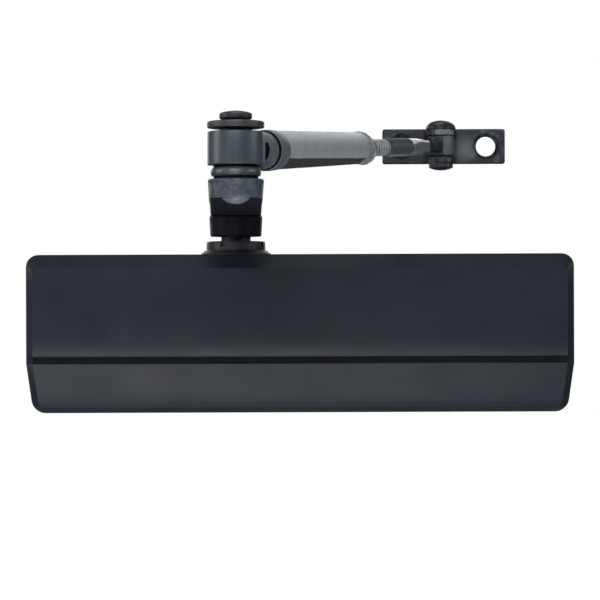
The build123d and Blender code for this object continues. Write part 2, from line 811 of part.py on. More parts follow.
# ---------------------------------------------------------------- shoe
shoe_middle = shoe_pin_place[2] + shoe_rise
shoe_top = shoe_middle + shoe_height / 2
shoe_bottom = shoe_middle - shoe_height / 2
ears_top = shoe_top - upper_ear_drop
shoe_front = Plane(
    origin=(shoe_centre_x, -shoe_thickness, shoe_middle), x_dir=(1, 0, 0), z_dir=(0, -1, 0)
)
with BuildPart() as shoe_bracket:
    with BuildSketch(shoe_front):
        RectangleRounded(shoe_length, shoe_height, shoe_corner_radius)
    extrude(amount=-shoe_thickness)
    with Locations(shoe_front):
        with GridLocations(shoe_hole_spacing, 0, 2, 1):
            CounterSinkHole(shoe_hole_radius, shoe_countersink_radius, shoe_thickness)
    for ear_bottom in (shoe_bottom, ears_top - ear_thickness):
        with BuildSketch(Plane.XY.offset(ear_bottom)):
            with Locations(shoe_pin_centre):
                Circle(ear_radius)
            with Locations((shoe_pin_place[0], (shoe_pin_place[1] - shoe_thickness) / 2)):
                Rectangle(2 * ear_radius, -shoe_pin_place[1] - shoe_thickness)
            with Locations(shoe_pin_centre):
                Circle(shoe_pin_radius + fit, mode=Mode.SUBTRACT)
        extrude(amount=ear_thickness)

shoe_pin = headed_pin(
    shoe_pin_centre, shoe_bottom, ears_top, shoe_pin_radius, shoe_pin_head, shoe_pin_tail
)

# ---------------------------------------------------------------- files, one for each piece
pieces = {
    "cover_shell": cover_shell,
    "mounting_plate": mounting_plate,
    "housing_screws": housing_screws,
    "cover_clips": cover_clips,
    "housing": housing,
    "left_end_cap": left_end_cap,
    "right_end_cap": right_end_cap,
    "end_cap_seals": end_cap_seals,
    "piston": piston,
    "piston_seal": piston_seal,
    "check_valve": check_valve,
    "main_spring": main_spring,
    "spring_seat": spring_seat,
    "spring_adjust_screw": spring_adjust_screw,
    "pinion_shaft": pinion_shaft,
    "upper_bearing": upper_bearing,
    "lower_bearing": lower_bearing,
    "shaft_seals": shaft_seals,
    "upper_pinion_cap": upper_pinion_cap,
    "lower_pinion_cap": lower_pinion_cap,
    "spindle_trim_ring": spindle_trim_ring,
    "lower_spindle_cap": lower_spindle_cap,
    "main_arm": main_arm,
    "arm_washer": arm_washer,
    "arm_screw": arm_screw,
    "elbow_pin": elbow_pin,
    "elbow_spacer": elbow_spacer,
    "elbow_spring_washer": elbow_spring_washer,
    "elbow_washer": elbow_washer,
    "elbow_bush": elbow_bush,
    "forearm_eye": forearm_eye,
    "forearm_ferrule": forearm_ferrule,
    "forearm_tube": forearm_tube,
    "tube_nose": tube_nose,
    "adjust_rod": adjust_rod,
    "shoe_bracket": shoe_bracket,
    "shoe_pin": shoe_pin,
    **valves,
    **valve_seals,
}
os.makedirs("parts", exist_ok=True)
for node, piece in pieces.items():
    piece.part.label = node
    export_step(piece.part, f"parts/{node}.step")
print("forearm, pin to pin:", round(pin_to_pin, 2))
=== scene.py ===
import json
from math import acos, atan2, cos, exp, pi, radians, sin, tan, tau

import bmesh
import bpy
from mathutils import Matrix, Vector, noise


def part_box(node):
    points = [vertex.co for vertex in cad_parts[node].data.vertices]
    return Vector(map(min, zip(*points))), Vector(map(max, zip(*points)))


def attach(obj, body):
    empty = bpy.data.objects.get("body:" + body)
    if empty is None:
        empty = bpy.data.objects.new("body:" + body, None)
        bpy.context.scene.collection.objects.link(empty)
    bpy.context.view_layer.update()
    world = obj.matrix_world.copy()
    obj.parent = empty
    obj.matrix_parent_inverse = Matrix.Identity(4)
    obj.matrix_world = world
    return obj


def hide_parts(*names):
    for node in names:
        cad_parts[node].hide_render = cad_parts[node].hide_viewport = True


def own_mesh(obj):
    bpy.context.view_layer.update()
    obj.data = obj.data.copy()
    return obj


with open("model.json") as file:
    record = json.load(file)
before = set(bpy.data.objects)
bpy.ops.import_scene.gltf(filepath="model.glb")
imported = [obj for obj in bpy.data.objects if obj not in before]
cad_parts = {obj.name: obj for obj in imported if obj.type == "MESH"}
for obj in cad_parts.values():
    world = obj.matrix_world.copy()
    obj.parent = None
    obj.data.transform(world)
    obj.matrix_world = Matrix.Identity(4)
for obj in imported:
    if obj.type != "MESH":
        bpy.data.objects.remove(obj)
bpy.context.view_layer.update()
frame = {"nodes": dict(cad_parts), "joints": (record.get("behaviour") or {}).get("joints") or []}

MM = 0.001


# -------- places read from the frame
def box_mm(node):
    """A CAD node's lowest and highest corner."""
    low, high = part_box(node)
    return low / MM, high / MM


joints = {joint["name"]: joint for joint in frame["joints"]}
SPINDLE = Vector(joints["spindle_turn"]["pos_m"]) / MM
ELBOW = Vector(joints["elbow_turn"]["pos_m"]) / MM
SHOE_PIN = Vector(joints["shoe_turn"]["pos_m"]) / MM
COVER_LOW, COVER_HIGH = box_mm("cover_shell")
FOREARM = Vector(joints["rod_adjust"]["axis"]).normalized()
PIN_TO_PIN = (SHOE_PIN.y - ELBOW.y) / FOREARM.y
FOREARM_START = SHOE_PIN - FOREARM * PIN_TO_PIN
ARM = Vector((ELBOW.x - SPINDLE.x, ELBOW.y - SPINDLE.y, 0))
ARM_LENGTH = ARM.length


def upright(x, y):
    """A frame on the vertical line through a point; heights in it are the shared frame's heights."""
    return Matrix.Translation((x, y, 0))


# The forearm's frame: z runs from the elbow to the shoe, y points up, and x to the left in a front view.
FOREARM_SIDE = Vector((0, 0, 1)).cross(FOREARM).normalized()
FOREARM_UP = FOREARM.cross(FOREARM_SIDE)
FOREARM_TURN = Matrix((FOREARM_SIDE, FOREARM_UP, FOREARM)).transposed().to_4x4()
FOREARM_FRAME = Matrix.Translation(FOREARM_START) @ FOREARM_TURN
at_spindle = upright(SPINDLE.x, SPINDLE.y)
at_elbow = upright(ELBOW.x, ELBOW.y)
at_shoe_pin = upright(SHOE_PIN.x, SHOE_PIN.y)
ARM_FRAME = at_spindle @ Matrix.Rotation(atan2(ARM.y, ARM.x), 4, "Z")

# Radii that several pieces have to agree on.
FIT = 0.05
ELBOW_PIN_RADIUS = 5.0
SHOE_PIN_RADIUS = 4.0
EYE_BORE = 7.0


# -------- meshes
def mesh_from(name, points, faces, matrix=Matrix()):
    """A mesh from points in millimetres, with its faces turned outwards."""
    mesh = bpy.data.meshes.new(name)
    mesh.from_pydata([(matrix @ Vector(point)) * MM for point in points], [], faces)
    work = bmesh.new()
    work.from_mesh(mesh)
    bmesh.ops.remove_doubles(work, verts=work.verts, dist=1e-7)
    bmesh.ops.recalc_face_normals(work, faces=work.faces)
    work.to_mesh(mesh)
    work.free()
    return mesh


def soften(points, radius, steps=4):
    """A closed outline with each corner rounded; a point may carry its own radius as a third number."""
    result = []
    count = len(points)
    for index, point in enumerate(points):
        here = Vector(point[:2])
        back = Vector(points[index - 1][:2]) - here
        ahead = Vector(points[(index + 1) % count][:2]) - here
        wanted = point[2] if len(point) > 2 else radius
        if not wanted or back.length < 1e-9 or ahead.length < 1e-9:
            result.append(tuple(here))
            continue
        half = back.angle(ahead) / 2
        if half > radians(89):
            result.append(tuple(here))
            continue
        reach = min(wanted / tan(half), 0.49 * back.length, 0.49 * ahead.length)
        start = here + back.normalized() * reach
        stop = here + ahead.normalized() * reach
        for step in range(steps + 1):
            share = step / steps
            first = start.lerp(here, share)
            second = here.lerp(stop, share)
            result.append(tuple(first.lerp(second, share)))
    return result


def lathe(name, profile, matrix, steps=96, shape=None):
    """Turns a closed (radius, height) profile around the frame's z axis; shape may alter each point."""
    points = []
    for step in range(steps):
        angle = tau * step / steps
        for radius, height in profile:
            if shape:
                radius, height = shape(radius, height, angle)
            points.append((radius * cos(angle), radius * sin(angle), height))
    rows = len(profile)
    faces = []
    for step in range(steps):
        after = (step + 1) % steps
        for row in range(rows):
            below = (row + 1) % rows
            faces.append((step * rows + row, step * rows + below, after * rows + below, after * rows + row))
    mesh = mesh_from(name, points, faces, matrix)
    work = bmesh.new()
    work.from_mesh(mesh)
    bmesh.ops.dissolve_degenerate(work, edges=work.edges, dist=1e-7)
    flat = [face for face in work.faces if face.calc_area() < 1e-14]
    bmesh.ops.delete(work, geom=flat, context="FACES")
    bare = [edge for edge in work.edges if not edge.link_faces]  # left along the axis of a closed profile
    bmesh.ops.delete(work, geom=bare, context="EDGES")
    work.to_mesh(mesh)
    work.free()
    return mesh


def stack(name, rings, matrix=Matrix()):
    """A closed solid from rings of points, all of the same count, capped at both ends."""
    count = len(rings[0])
    points = [point for ring in rings for point in ring]
    faces = []
    for level in range(len(rings) - 1):
        for index in range(count):
            after = (index + 1) % count
            low = level * count
            high = low + count
            faces.append((low + index, low + after, high + after, high + index))
    faces.append(tuple(range(count))[::-1])
    faces.append(tuple((len(rings) - 1) * count + index for index in range(count)))
    return mesh_from(name, points, faces, matrix)


def inset(outline, amount):
    """A convex outline moved inwards by an even amount."""
    count = len(outline)
    result = []
    for index in range(count):
        back = Vector(outline[index - 1])
        ahead = Vector(outline[(index + 1) % count])
        run = (ahead - back).normalized()
        result.append(Vector(outline[index]) + Vector((-run.y, run.x)) * amount)
    return result


def levels(outline, steps):
    """Rings of an outline: each step is (height, inset)."""
    return [[(*point, height) for point in inset(outline, amount)] for height, amount in steps]


def prism(name, outline, bottom, top, matrix=Matrix()):
    """A straight solid over an outline."""
    return stack(name, levels(outline, [(bottom, 0), (top, 0)]), matrix)


def circle(radius, steps=64, x=0.0, y=0.0):
    """A circle's outline in plan."""
    return [(x + radius * cos(tau * i / steps), y + radius * sin(tau * i / steps)) for i in range(steps)]


def link(mesh, name):
    """Puts a mesh into the scene as an object."""
    piece = bpy.data.objects.new(name, mesh)
    bpy.context.scene.collection.objects.link(piece)
    return piece


def settle(piece):
    """Replaces a piece's mesh by what its modifiers make of it."""
    shown = piece.evaluated_get(bpy.context.evaluated_depsgraph_get())
    mesh = bpy.data.meshes.new_from_object(shown)
    piece.modifiers.clear()
    old = piece.data
    piece.data = mesh
    bpy.data.meshes.remove(old)


def combine(piece, tools, operation="DIFFERENCE"):
    """Cuts the tool meshes from a piece, or joins them to it."""
    for index, tool in enumerate(tools):
        helper = link(tool, f"tool_{index}")
        change = piece.modifiers.new("change", "BOOLEAN")
        change.object = helper
        change.operation = operation
        change.solver = "EXACT"
        settle(piece)
        bpy.data.objects.remove(helper)


def roughen(piece, height, scale, seed, keep=lambda point: 1.0):
    """Moves each point along its normal by smooth noise, as on a forging's skin."""
    piece.data.update()
    offset = Vector((seed * 7.3, seed * 3.1, seed * 5.7))
    for vertex in piece.data.vertices:
        point = vertex.co / MM
        bump = noise.fractal(point / scale + offset, 0.6, 2.0, 3)
        vertex.co += vertex.normal * bump * height * keep(point) * MM


def finish_piece(piece, body, material, nodes=(), bevel=0.0, angle=30, segments=3):
    """Rounds a piece's sharp edges, gives it its material, and hands it to its body."""
    if bevel:
        rounding = piece.modifiers.new("rounding", "BEVEL")
        rounding.width = bevel * MM
        rounding.segments = segments
        rounding.limit_method = "ANGLE"
        rounding.angle_limit = radians(angle)
        rounding.harden_normals = True
        piece.data.shade_smooth()
        settle(piece)
    piece.data.materials.clear()
    piece.data.materials.append(material)
    piece.data.shade_smooth()
    if not bevel:
        piece.data.set_sharp_from_angle(angle=radians(38))
    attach(piece, body)
    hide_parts(*nodes)


def turned_piece(name, profile, matrix, body, material, node):
    """A whole piece turned around the matrix's z axis."""
    piece = link(lathe(name, profile, matrix), name)
    finish_piece(piece, body, material, [node])
    return piece


def repaint(piece, material, chosen):
    """Gives another material to the faces whose centre, in millimetres, and normal pass a test."""
    piece.data.materials.append(material)
    index = len(piece.data.materials) - 1
    for face in piece.data.polygons:
        if chosen(face.center / MM, face.normal):
            face.material_index = index


def along_forearm(point):
    """How far along the forearm a point lies, from the elbow pin."""
    return (point - FOREARM_START).dot(FOREARM)


def off_forearm(point):
    """How far a point lies from the forearm's centre line."""
    return (point - FOREARM_START - FOREARM * along_forearm(point)).length


# -------- materials
def colour(red, green, blue):
    """A display colour, 0 to 255, as linear light."""
    return tuple(((channel / 255 + 0.055) / 1.055) ** 2.4 for channel in (red, green, blue)) + (1.0,)


def set_inputs(node, values):
    """Sets a shader node's own numbers, by socket name."""
    for socket, value in values.items():
        node.inputs[socket].default_value = value


def surface(
    name, tint, roughness, metallic=0.0, mottle=0.12, mottle_scale=60, grain=0.03, grain_scale=900,
    rough_spread=0.08, stretch=(1, 1, 1), wear=0.0, wear_tint=(150, 152, 155), rust=None, gloss=0.5,
    patch=None,
):
    """A procedural finish: mottled tint, fine grain in relief, uneven gloss and lighter worn edges.

    rust is the tint of scattered spots, and patch is one round spot of another tint that fades out: its
    centre, reach and tint.
    """
    finish = bpy.data.materials.new(name)
    finish.use_nodes = True
    nodes = finish.node_tree.nodes
    wires = finish.node_tree.links
    shader = nodes["Principled BSDF"]
    set_inputs(shader, {"Metallic": metallic, "Specular IOR Level": gloss})
    place = nodes.new("ShaderNodeTexCoord")
    squeeze = nodes.new("ShaderNodeMapping")
    set_inputs(squeeze, {"Scale": stretch})
    wires.new(place.outputs["Object"], squeeze.inputs["Vector"])

    def noise_at(scale, detail):
        texture = nodes.new("ShaderNodeTexNoise")
        set_inputs(texture, {"Scale": scale, "Detail": detail})
        wires.new(squeeze.outputs["Vector"], texture.inputs["Vector"])
        return texture.outputs["Fac"]

    def ranged(source, low, high, start=0.0, stop=1.0):
        change = nodes.new("ShaderNodeMapRange")
        set_inputs(change, {"From Min": low, "From Max": high, "To Min": start, "To Max": stop})
        wires.new(source, change.inputs["Value"])
        return change.outputs["Result"]

    def blend_in(factor, under, over):
        mixer = nodes.new("ShaderNodeMix")
        mixer.data_type = "RGBA"
        wires.new(factor, mixer.inputs[0])
        for socket, value in ((mixer.inputs[6], under), (mixer.inputs[7], over)):
            if isinstance(value, tuple):
                socket.default_value = value
            else:
                wires.new(value, socket)
        return mixer.outputs[2]

    base = colour(*tint)
    dark = tuple(channel * (1 - mottle) for channel in base[:3]) + (1.0,)
    light = tuple(min(1.0, channel * (1 + mottle)) for channel in base[:3]) + (1.0,)
    shade = blend_in(ranged(noise_at(mottle_scale, 4), 0.3, 0.7), dark, light)
    if rust:
        spots = ranged(noise_at(mottle_scale * 2.3, 6), 0.56, 0.68)
        shade = blend_in(spots, shade, colour(*rust))
    if patch:
        centre, reach, patch_tint = patch
        away = nodes.new("ShaderNodeVectorMath")
        away.operation = "DISTANCE"
        away.inputs[1].default_value = centre * MM
        wires.new(place.outputs["Object"], away.inputs[0])
        fade = ranged(away.outputs["Value"], 0.3 * reach * MM, reach * MM, 0.75, 0.0)
        shade = blend_in(fade, shade, colour(*patch_tint))
    if wear:
        edge = nodes.new("ShaderNodeNewGeometry")
        ridge = ranged(edge.outputs["Pointiness"], 0.52, 0.62, 0.0, wear)
        shade = blend_in(ridge, shade, colour(*wear_tint))
    wires.new(shade, shader.inputs["Base Color"])
    low, high = roughness - rough_spread, roughness + rough_spread
    wires.new(ranged(noise_at(mottle_scale * 1.7, 3), 0.3, 0.7, low, high), shader.inputs["Roughness"])
    if grain:
        relief = nodes.new("ShaderNodeBump")
        set_inputs(relief, {"Strength": 0.6, "Distance": grain * MM})
        wires.new(noise_at(grain_scale, 3), relief.inputs["Height"])
        wires.new(relief.outputs["Normal"], shader.inputs["Normal"])
    return finish


COVER_PAINT = surface("cover_paint", (31, 37, 46), 0.34, mottle=0.05, mottle_scale=25, grain=0.012,
                      grain_scale=2600, rough_spread=0.04, wear=0.15, wear_tint=(74, 80, 88), gloss=0.24)
TRIM_PAINT = surface("trim_paint", (34, 36, 41), 0.5, mottle_scale=180, grain=0.03,
                     grain_scale=1500, wear=0.3, wear_tint=(96, 98, 104))
SHOE_LOW, SHOE_HIGH = box_mm("shoe_bracket")
# A lighter spot on the plate beside the eye: partly worn paint, partly painted light that lifts the shade
# behind the ear.
WORN_AND_LIT_SPOT = (SHOE_LOW + SHOE_HIGH) / 2 + Vector((12.0, 4.0, -2.0))
SHOE_PAINT = surface("shoe_paint", (39, 44, 51), 0.42, mottle=0.45, mottle_scale=70, grain=0.025,
                     grain_scale=500, wear=0.3, wear_tint=(84, 90, 96), rust=(76, 88, 94), gloss=0.3,
                     patch=(WORN_AND_LIT_SPOT, 9.5, (104, 115, 122)))
# Painted light: a lighter copy of the shoe's paint for the side of the rod's eye that faces the light.
EYE_LIT_SIDE = surface("eye_lit_side", (84, 92, 98), 0.42, mottle=0.35, mottle_scale=200, grain=0.05,
                      grain_scale=500, gloss=0.3)
# Painted shade and light: the arm is one paint, given as a near-black shaded copy for the hub and underside,
# and a lighter lit copy for the elbow end.
ARM_SHADED_PAINT = surface("arm_paint", (20, 24, 33), 0.5, mottle=0.25, mottle_scale=200, grain=0.1,
                    grain_scale=700, wear=0.2, wear_tint=(50, 54, 62), gloss=0.12)
ARM_END_LIT_PAINT = surface("arm_end_lit_paint", (64, 72, 84), 0.45, mottle=0.4, mottle_scale=420, grain=0.3,
                        grain_scale=600, wear=0.4, wear_tint=(104, 110, 118))
LIGHT_CHAMFER_BAND = surface("light_chamfer_band", (88, 95, 105), 0.45, mottle=0.3, mottle_scale=420, grain=0.1)
# Painted shade: a near-black for recesses, gaps, slots and grooves where shade falls.
RECESS_PAINTED_SHADE = surface("recess_painted_shade", (12, 13, 16), 0.8, mottle=0.2, mottle_scale=300, gloss=0.1)
GROOVE_PAINTED_SHADE = surface("groove_painted_shade", (20, 23, 28), 0.7, mottle=0.1, gloss=0.1)
# Painted highlight: a lighter steel for the elbow rivet's lower dome and the upper ear's front rim, where
# light catches.
PAINTED_HIGHLIGHT_STEEL = surface("painted_highlight_steel", (116, 120, 125), 0.45, mottle=0.25, mottle_scale=300, grain=0.05)
EYE_PAINT = surface("eye_paint", (60, 69, 79), 0.36, mottle_scale=160, grain=0.03,
                    grain_scale=1600, wear=0.3, wear_tint=(104, 110, 118), stretch=(1, 1, 0.15))
FERRULE_PAINT = surface("ferrule_paint", (96, 102, 109), 0.42, mottle=0.3, mottle_scale=200, grain=0.05,
                        grain_scale=1200, wear=0.4, wear_tint=(136, 140, 144), rust=(78, 84, 92))
TUBE_PAINT = surface("tube_paint", (158, 163, 167), 0.42, mottle=0.07, mottle_scale=130, grain=0.02,
                     grain_scale=2000, wear=0.15, wear_tint=(180, 182, 184))
# Painted shade: a dark copy of the tube's colour for the flat on its underside.
TUBE_FLAT_PAINTED_SHADE = surface("tube_flat_painted_shade", (46, 50, 55), 0.5, mottle_scale=130, grain=0.02)
NOSE_PAINT = surface("nose_paint", (136, 141, 144), 0.45, mottle=0.45, mottle_scale=420, grain=0.25,
                     grain_scale=700, wear=0.5, wear_tint=(176, 178, 178), rust=(84, 84, 82))
WASHER_STEEL = surface("washer_steel", (58, 60, 63), 0.45, metallic=0.15, mottle=0.2, mottle_scale=260,
                       grain_scale=1800, wear=0.4)
RING_STEEL = surface("ring_steel", (76, 81, 88), 0.36, metallic=0.4, mottle=0.25, mottle_scale=280,
                     grain=0.04, grain_scale=1300, wear=0.4)
PIN_STEEL = surface("pin_steel", (46, 48, 54), 0.42, metallic=0.15, mottle=0.2, mottle_scale=300,
                    grain=0.04, grain_scale=1400, wear=0.4)
BRIGHT_STEEL = surface("bright_steel", (178, 186, 190), 0.4, metallic=0.5, mottle=0.12,
                       mottle_scale=300, grain=0.008, grain_scale=1500, wear=0.2, wear_tint=(230, 230, 230))
DARK_STEEL = surface("dark_steel", (74, 77, 82), 0.38, metallic=0.7, mottle=0.25, mottle_scale=400,
                     grain_scale=2000, wear=0.5)
# Painted shade: a dark steel for the fine thread, which stands for the rod lying in shade inside the bracket.
THREAD_PAINTED_SHADE = surface("thread_painted_shade", (52, 57, 64), 0.45, metallic=0.2, mottle=0.3, mottle_scale=500,
                      grain=0.008, grain_scale=2000, wear=0.4)
# Painted highlight and shade: a near-white steel for the neck's upward facets and a darker copy for its
# sides.
NECK_TOP_HIGHLIGHT = surface("neck_top_highlight", (226, 229, 231), 0.35, metallic=0.2, mottle=0.15, mottle_scale=300,
                      grain=0.008)
NECK_SIDE_SHADE = surface("neck_side_shade", (124, 129, 133), 0.35, metallic=0.3, mottle=0.3, mottle_scale=300,
                     grain=0.01, wear=0.3, wear_tint=(170, 172, 174))
ZINC_PLATE = surface("zinc_plate", (176, 178, 178), 0.4, metallic=0.8, mottle=0.06, mottle_scale=160,
                     rough_spread=0.04, grain=0.02, grain_scale=1500, wear=0.3)
CAST_ALUMINIUM = surface("cast_aluminium", (168, 170, 172), 0.55, metallic=1.0, mottle=0.12,
                         mottle_scale=220, grain=0.15, grain_scale=600, wear=0.2)
BRASS = surface("valve_brass", (198, 164, 92), 0.3, metallic=1.0, mottle_scale=300, wear=0.2)
BRONZE = surface("sintered_bronze", (150, 110, 66), 0.55, metallic=0.9, mottle=0.2, mottle_scale=500)
SPRING_STEEL = surface("spring_wire", (92, 92, 94), 0.35, metallic=0.9, mottle=0.2, mottle_scale=200)
RUBBER = surface("seal_rubber", (34, 34, 35), 0.7, mottle=0.15, mottle_scale=300)
BLACK_PLASTIC = surface("black_plastic", (40, 41, 44), 0.5, mottle=0.08, mottle_scale=200, grain=0.04,
                        grain_scale=1800, wear=0.15)

node_finishes = (
    (ZINC_PLATE, "mounting_plate housing_screws cover_clips"),
    (CAST_ALUMINIUM, "housing"),
    (DARK_STEEL, "left_end_cap right_end_cap spring_seat spring_adjust_screw lower_pinion_cap"),
    (BRIGHT_STEEL, "piston check_valve"),
    (SPRING_STEEL, "main_spring"),
    (BRONZE, "upper_bearing lower_bearing elbow_bush"),
    (TRIM_PAINT, "pinion_shaft"),
    (BRASS, "sweep_valve latch_valve backcheck_valve"),
    (RUBBER, "end_cap_seals piston_seal shaft_seals sweep_valve_seal latch_valve_seal backcheck_valve_seal"),
)
for finish, names in node_finishes:
    for node in names.split():
        shell = frame["nodes"][node]
        shell.data.materials.clear()
        shell.data.materials.append(finish)


# -------- cover
GROOVE = -14.4
COVER_WALL = 2.2
SPINDLE_HOLE = 16.2
PLUG_HOLE = 15.0


def cover_rows():
    """Rows of the cover's front, from the bottom up.

    Each row is (z, depth, half width, z at the rim, half width at the rim, depth at the rim).
    """
    half = COVER_HIGH.x
    top = COVER_HIGH.z
    front = COVER_LOW.y
    taper = 3.6
    taper_height = 25
    groove = GROOVE
    face_low, face_high = -40.3, 35.7
    side_strip = 3.8
    rim_depth = 3.6
    low_depth = 2.3
    low_roll, high_roll = 2.6, 2.4  # how much further back the rim lies at the corners' outer ends
    face_corner, rim_corner = 3.0, 6.5
    corner_steps = 5

    def lean(z):
        return taper * max(0.0, min(1.0, (groove - 2.0 - z) / taper_height))

    # Depth of the face behind the front plane, at the heights where it changes.
    face = [
        (-31.0, 1.75), (-24.0, 1.2), (groove - 2.4, 0.55), (groove - 1.9, 0.75), (groove - 1.4, 2.1),
        (groove + 1.3, 2.1), (groove + 1.8, 0.95), (groove + 2.4, 0.62), (groove + 4.2, 0.38),
        (groove + 7.0, 0.18), (groove + 10.6, 0.04), (groove + 15.0, 0.0), (14.0, 0.0), (24.0, 0.0),
    ]

    def corner(turn, edge, rim_edge, inwards, depth, roll):
        """A row of a rounded corner; turn is 0 at its outer end and a quarter turn at the straight side."""
        z = edge + inwards * face_corner * (1 - cos(turn))
        rim_z = rim_edge + inwards * rim_corner * (1 - cos(turn))
        return (z, depth, half - side_strip - lean(z) - face_corner * (1 - sin(turn)),
                rim_z, half - lean(rim_z) - rim_corner * (1 - sin(turn)),
                front + rim_depth + roll * cos(turn) ** 2)

    turns = [pi / 2 * step / corner_steps for step in range(corner_steps + 1)]
    rows = [corner(turn, face_low, -top, 1, low_depth, low_roll) for turn in turns]
    for z, depth in face:
        rows.append((z, depth, half - side_strip - lean(z), z, half - lean(z), front + rim_depth))
    return rows + [corner(turn, face_high, top, -1, 0.0, high_roll) for turn in turns[::-1]]


def make_cover():
    rows = cover_rows()
    columns = 30
    front = COVER_LOW.y
    back = COVER_HIGH.y
    points = []
    rim_loop = []
    for z, depth, half, _, _, _ in rows:
        for column in range(columns + 1):
            points.append((half * (2 * column / columns - 1), front + depth, z))
    width = columns + 1
    last = len(rows) - 1
    faces = []
    for row in range(last):
        for column in range(columns):
            low = row * width + column
            faces.append((low, low + 1, low + width + 1, low + width))
    border = [(0, column) for column in range(width)]
    border += [(row, columns) for row in range(1, last + 1)]
    border += [(last, column) for column in range(columns - 1, -1, -1)]
    border += [(row, 0) for row in range(last - 1, 0, -1)]
    for row, column in border:
        _, _, _, rim_z, rim_half, rim_depth = rows[row]
        rim_loop.append((rim_half * (2 * column / columns - 1), rim_depth, rim_z))
    rim_start = len(points)
    points += rim_loop
    back_start = len(points)
    points += [(x, back, z) for x, _, z in rim_loop]
    count = len(border)
    for index in range(count):
        after = (index + 1) % count
        inner, inner_after = (border[i][0] * width + border[i][1] for i in (index, after))
        faces.append((inner, inner_after, rim_start + after, rim_start + index))
        faces.append((rim_start + index, rim_start + after, back_start + after, back_start + index))
    piece = link(mesh_from("cover_panel", points, faces), "cover_panel")
    wall = piece.modifiers.new("wall", "SOLIDIFY")
    wall.thickness = COVER_WALL * MM
    wall.offset = -1
    settle(piece)
    reach = 6  # of each cutter, above and below the wall it goes through
    holes = []
    for radius, middle in ((SPINDLE_HOLE, COVER_HIGH.z), (PLUG_HOLE, COVER_LOW.z)):
        outline = circle(radius, 72, SPINDLE.x, SPINDLE.y)
        holes.append(prism("hole", outline, middle - reach, middle + reach))
    combine(piece, holes)
    finish_piece(piece, "closer_body", COVER_PAINT, ["cover_shell"], bevel=0.7, angle=17)
    # Painted shade: the floor of the groove across the cover's front gets a near-black colour.
    repaint(piece, GROOVE_PAINTED_SHADE, lambda point, normal: (
        normal.y < -0.3 and abs(point.z - GROOVE) < 1.7 and 1.3 < point.y - front < 3.0
        and abs(point.x) < COVER_HIGH.x - 4.5))


make_cover()

# -------- spindle: trim ring, collar and lower plug
TRIM_LOW, TRIM_HIGH = box_mm("spindle_trim_ring")
trim_radius = (TRIM_HIGH.x - TRIM_LOW.x) / 2
trim_bore = SPINDLE_HOLE - FIT
trim = soften([
    (trim_bore, TRIM_LOW.z, 0), (trim_radius, TRIM_LOW.z, 0.1), (trim_radius, TRIM_LOW.z + 0.7, 0.3),
    (17.3, TRIM_HIGH.z, 0.5), (trim_bore, TRIM_HIGH.z, 0.1),
], 0.2)
turned_piece("trim_flare", trim, at_spindle, "closer_body", TRIM_PAINT, "spindle_trim_ring")

CAP_LOW, CAP_HIGH = box_mm("upper_pinion_cap")
cap_radius = (CAP_HIGH.x - CAP_LOW.x) / 2
cap_bore = 8.45
bearing_bore = 12.0
bearing_top = 38.95
thread_radius = 14.95
flange_bottom = 39.6
collar = soften([
    (bearing_bore, CAP_LOW.z), (thread_radius, CAP_LOW.z), (thread_radius, flange_bottom, 0),
    (cap_radius, flange_bottom, 0.2), (cap_radius, CAP_HIGH.z, 1.1), (cap_bore, CAP_HIGH.z, 0.6),
    (cap_bore, bearing_top, 0), (bearing_bore, bearing_top, 0),
], 0.2)
piece = link(lathe("pinion_collar", collar, at_spindle), "pinion_collar")
notch_depth = 1.4
notch_half = 1.3
notch_height = 3.2
clear = 2  # how far each cutter stands out of the collar
notch = [(cap_radius - notch_depth, -notch_half), (cap_radius + clear, -notch_half),
         (cap_radius + clear, notch_half), (cap_radius - notch_depth, notch_half)]
notches = []
for quarter in range(4):
    place = at_spindle @ Matrix.Rotation(radians(90 * quarter - 25), 4, "Z")
    notches.append(prism("notch", notch, CAP_HIGH.z - notch_height, CAP_HIGH.z + clear, place))
combine(piece, notches)
finish_piece(piece, "closer_body", TRIM_PAINT, ["upper_pinion_cap"],
             bevel=0.15, angle=40, segments=2)

PLUG_LOW, PLUG_HIGH = box_mm("lower_spindle_cap")
plug_radius = (PLUG_HIGH.x - PLUG_LOW.x) / 2
plug_body = PLUG_HOLE - 0.15
plug_lip = COVER_LOW.z + COVER_WALL + FIT
plug = soften([
    (0, PLUG_LOW.z + 0.5, 0), (9.0, PLUG_LOW.z + 0.5), (10.0, PLUG_LOW.z, 0.3), (plug_body, PLUG_LOW.z, 0.4),
    (plug_body, plug_lip, 0), (plug_radius, plug_lip), (plug_radius, PLUG_HIGH.z), (0, PLUG_HIGH.z, 0),
], 0.2)
turned_piece("lower_plug", plug, at_spindle, "closer_body", BLACK_PLASTIC,
             "lower_spindle_cap")

# -------- main arm
ARM_LOW, ARM_HIGH = box_mm("main_arm")
ARM_TOP = ARM_HIGH.z
HUB_BOTTOM = ARM_LOW.z
ARM_THICKNESS = 8.7
ARM_UNDER = ARM_TOP - ARM_THICKNESS
hub_radius = 14.9
elbow_end_radius = 12.9


def arm_outline(arc_steps=40, side_steps=46):
    """The arm in plan: the hull of the elbow end's circle and the hub's circle."""
    lean = acos((hub_radius - elbow_end_radius) / ARM_LENGTH)

    def arc(centre, radius, start, stop):
        turns = [start + (stop - start) * step / arc_steps for step in range(arc_steps + 1)]
        return [Vector((centre + radius * cos(turn), radius * sin(turn))) for turn in turns]

    def side(start, stop):
        return [start.lerp(stop, step / side_steps) for step in range(1, side_steps)]

    elbow_end = arc(ARM_LENGTH, elbow_end_radius, -lean, lean)
    hub = arc(0, hub_radius, lean, tau - lean)
    return elbow_end + side(elbow_end[-1], hub[0]) + hub + side(hub[-1], elbow_end[0])


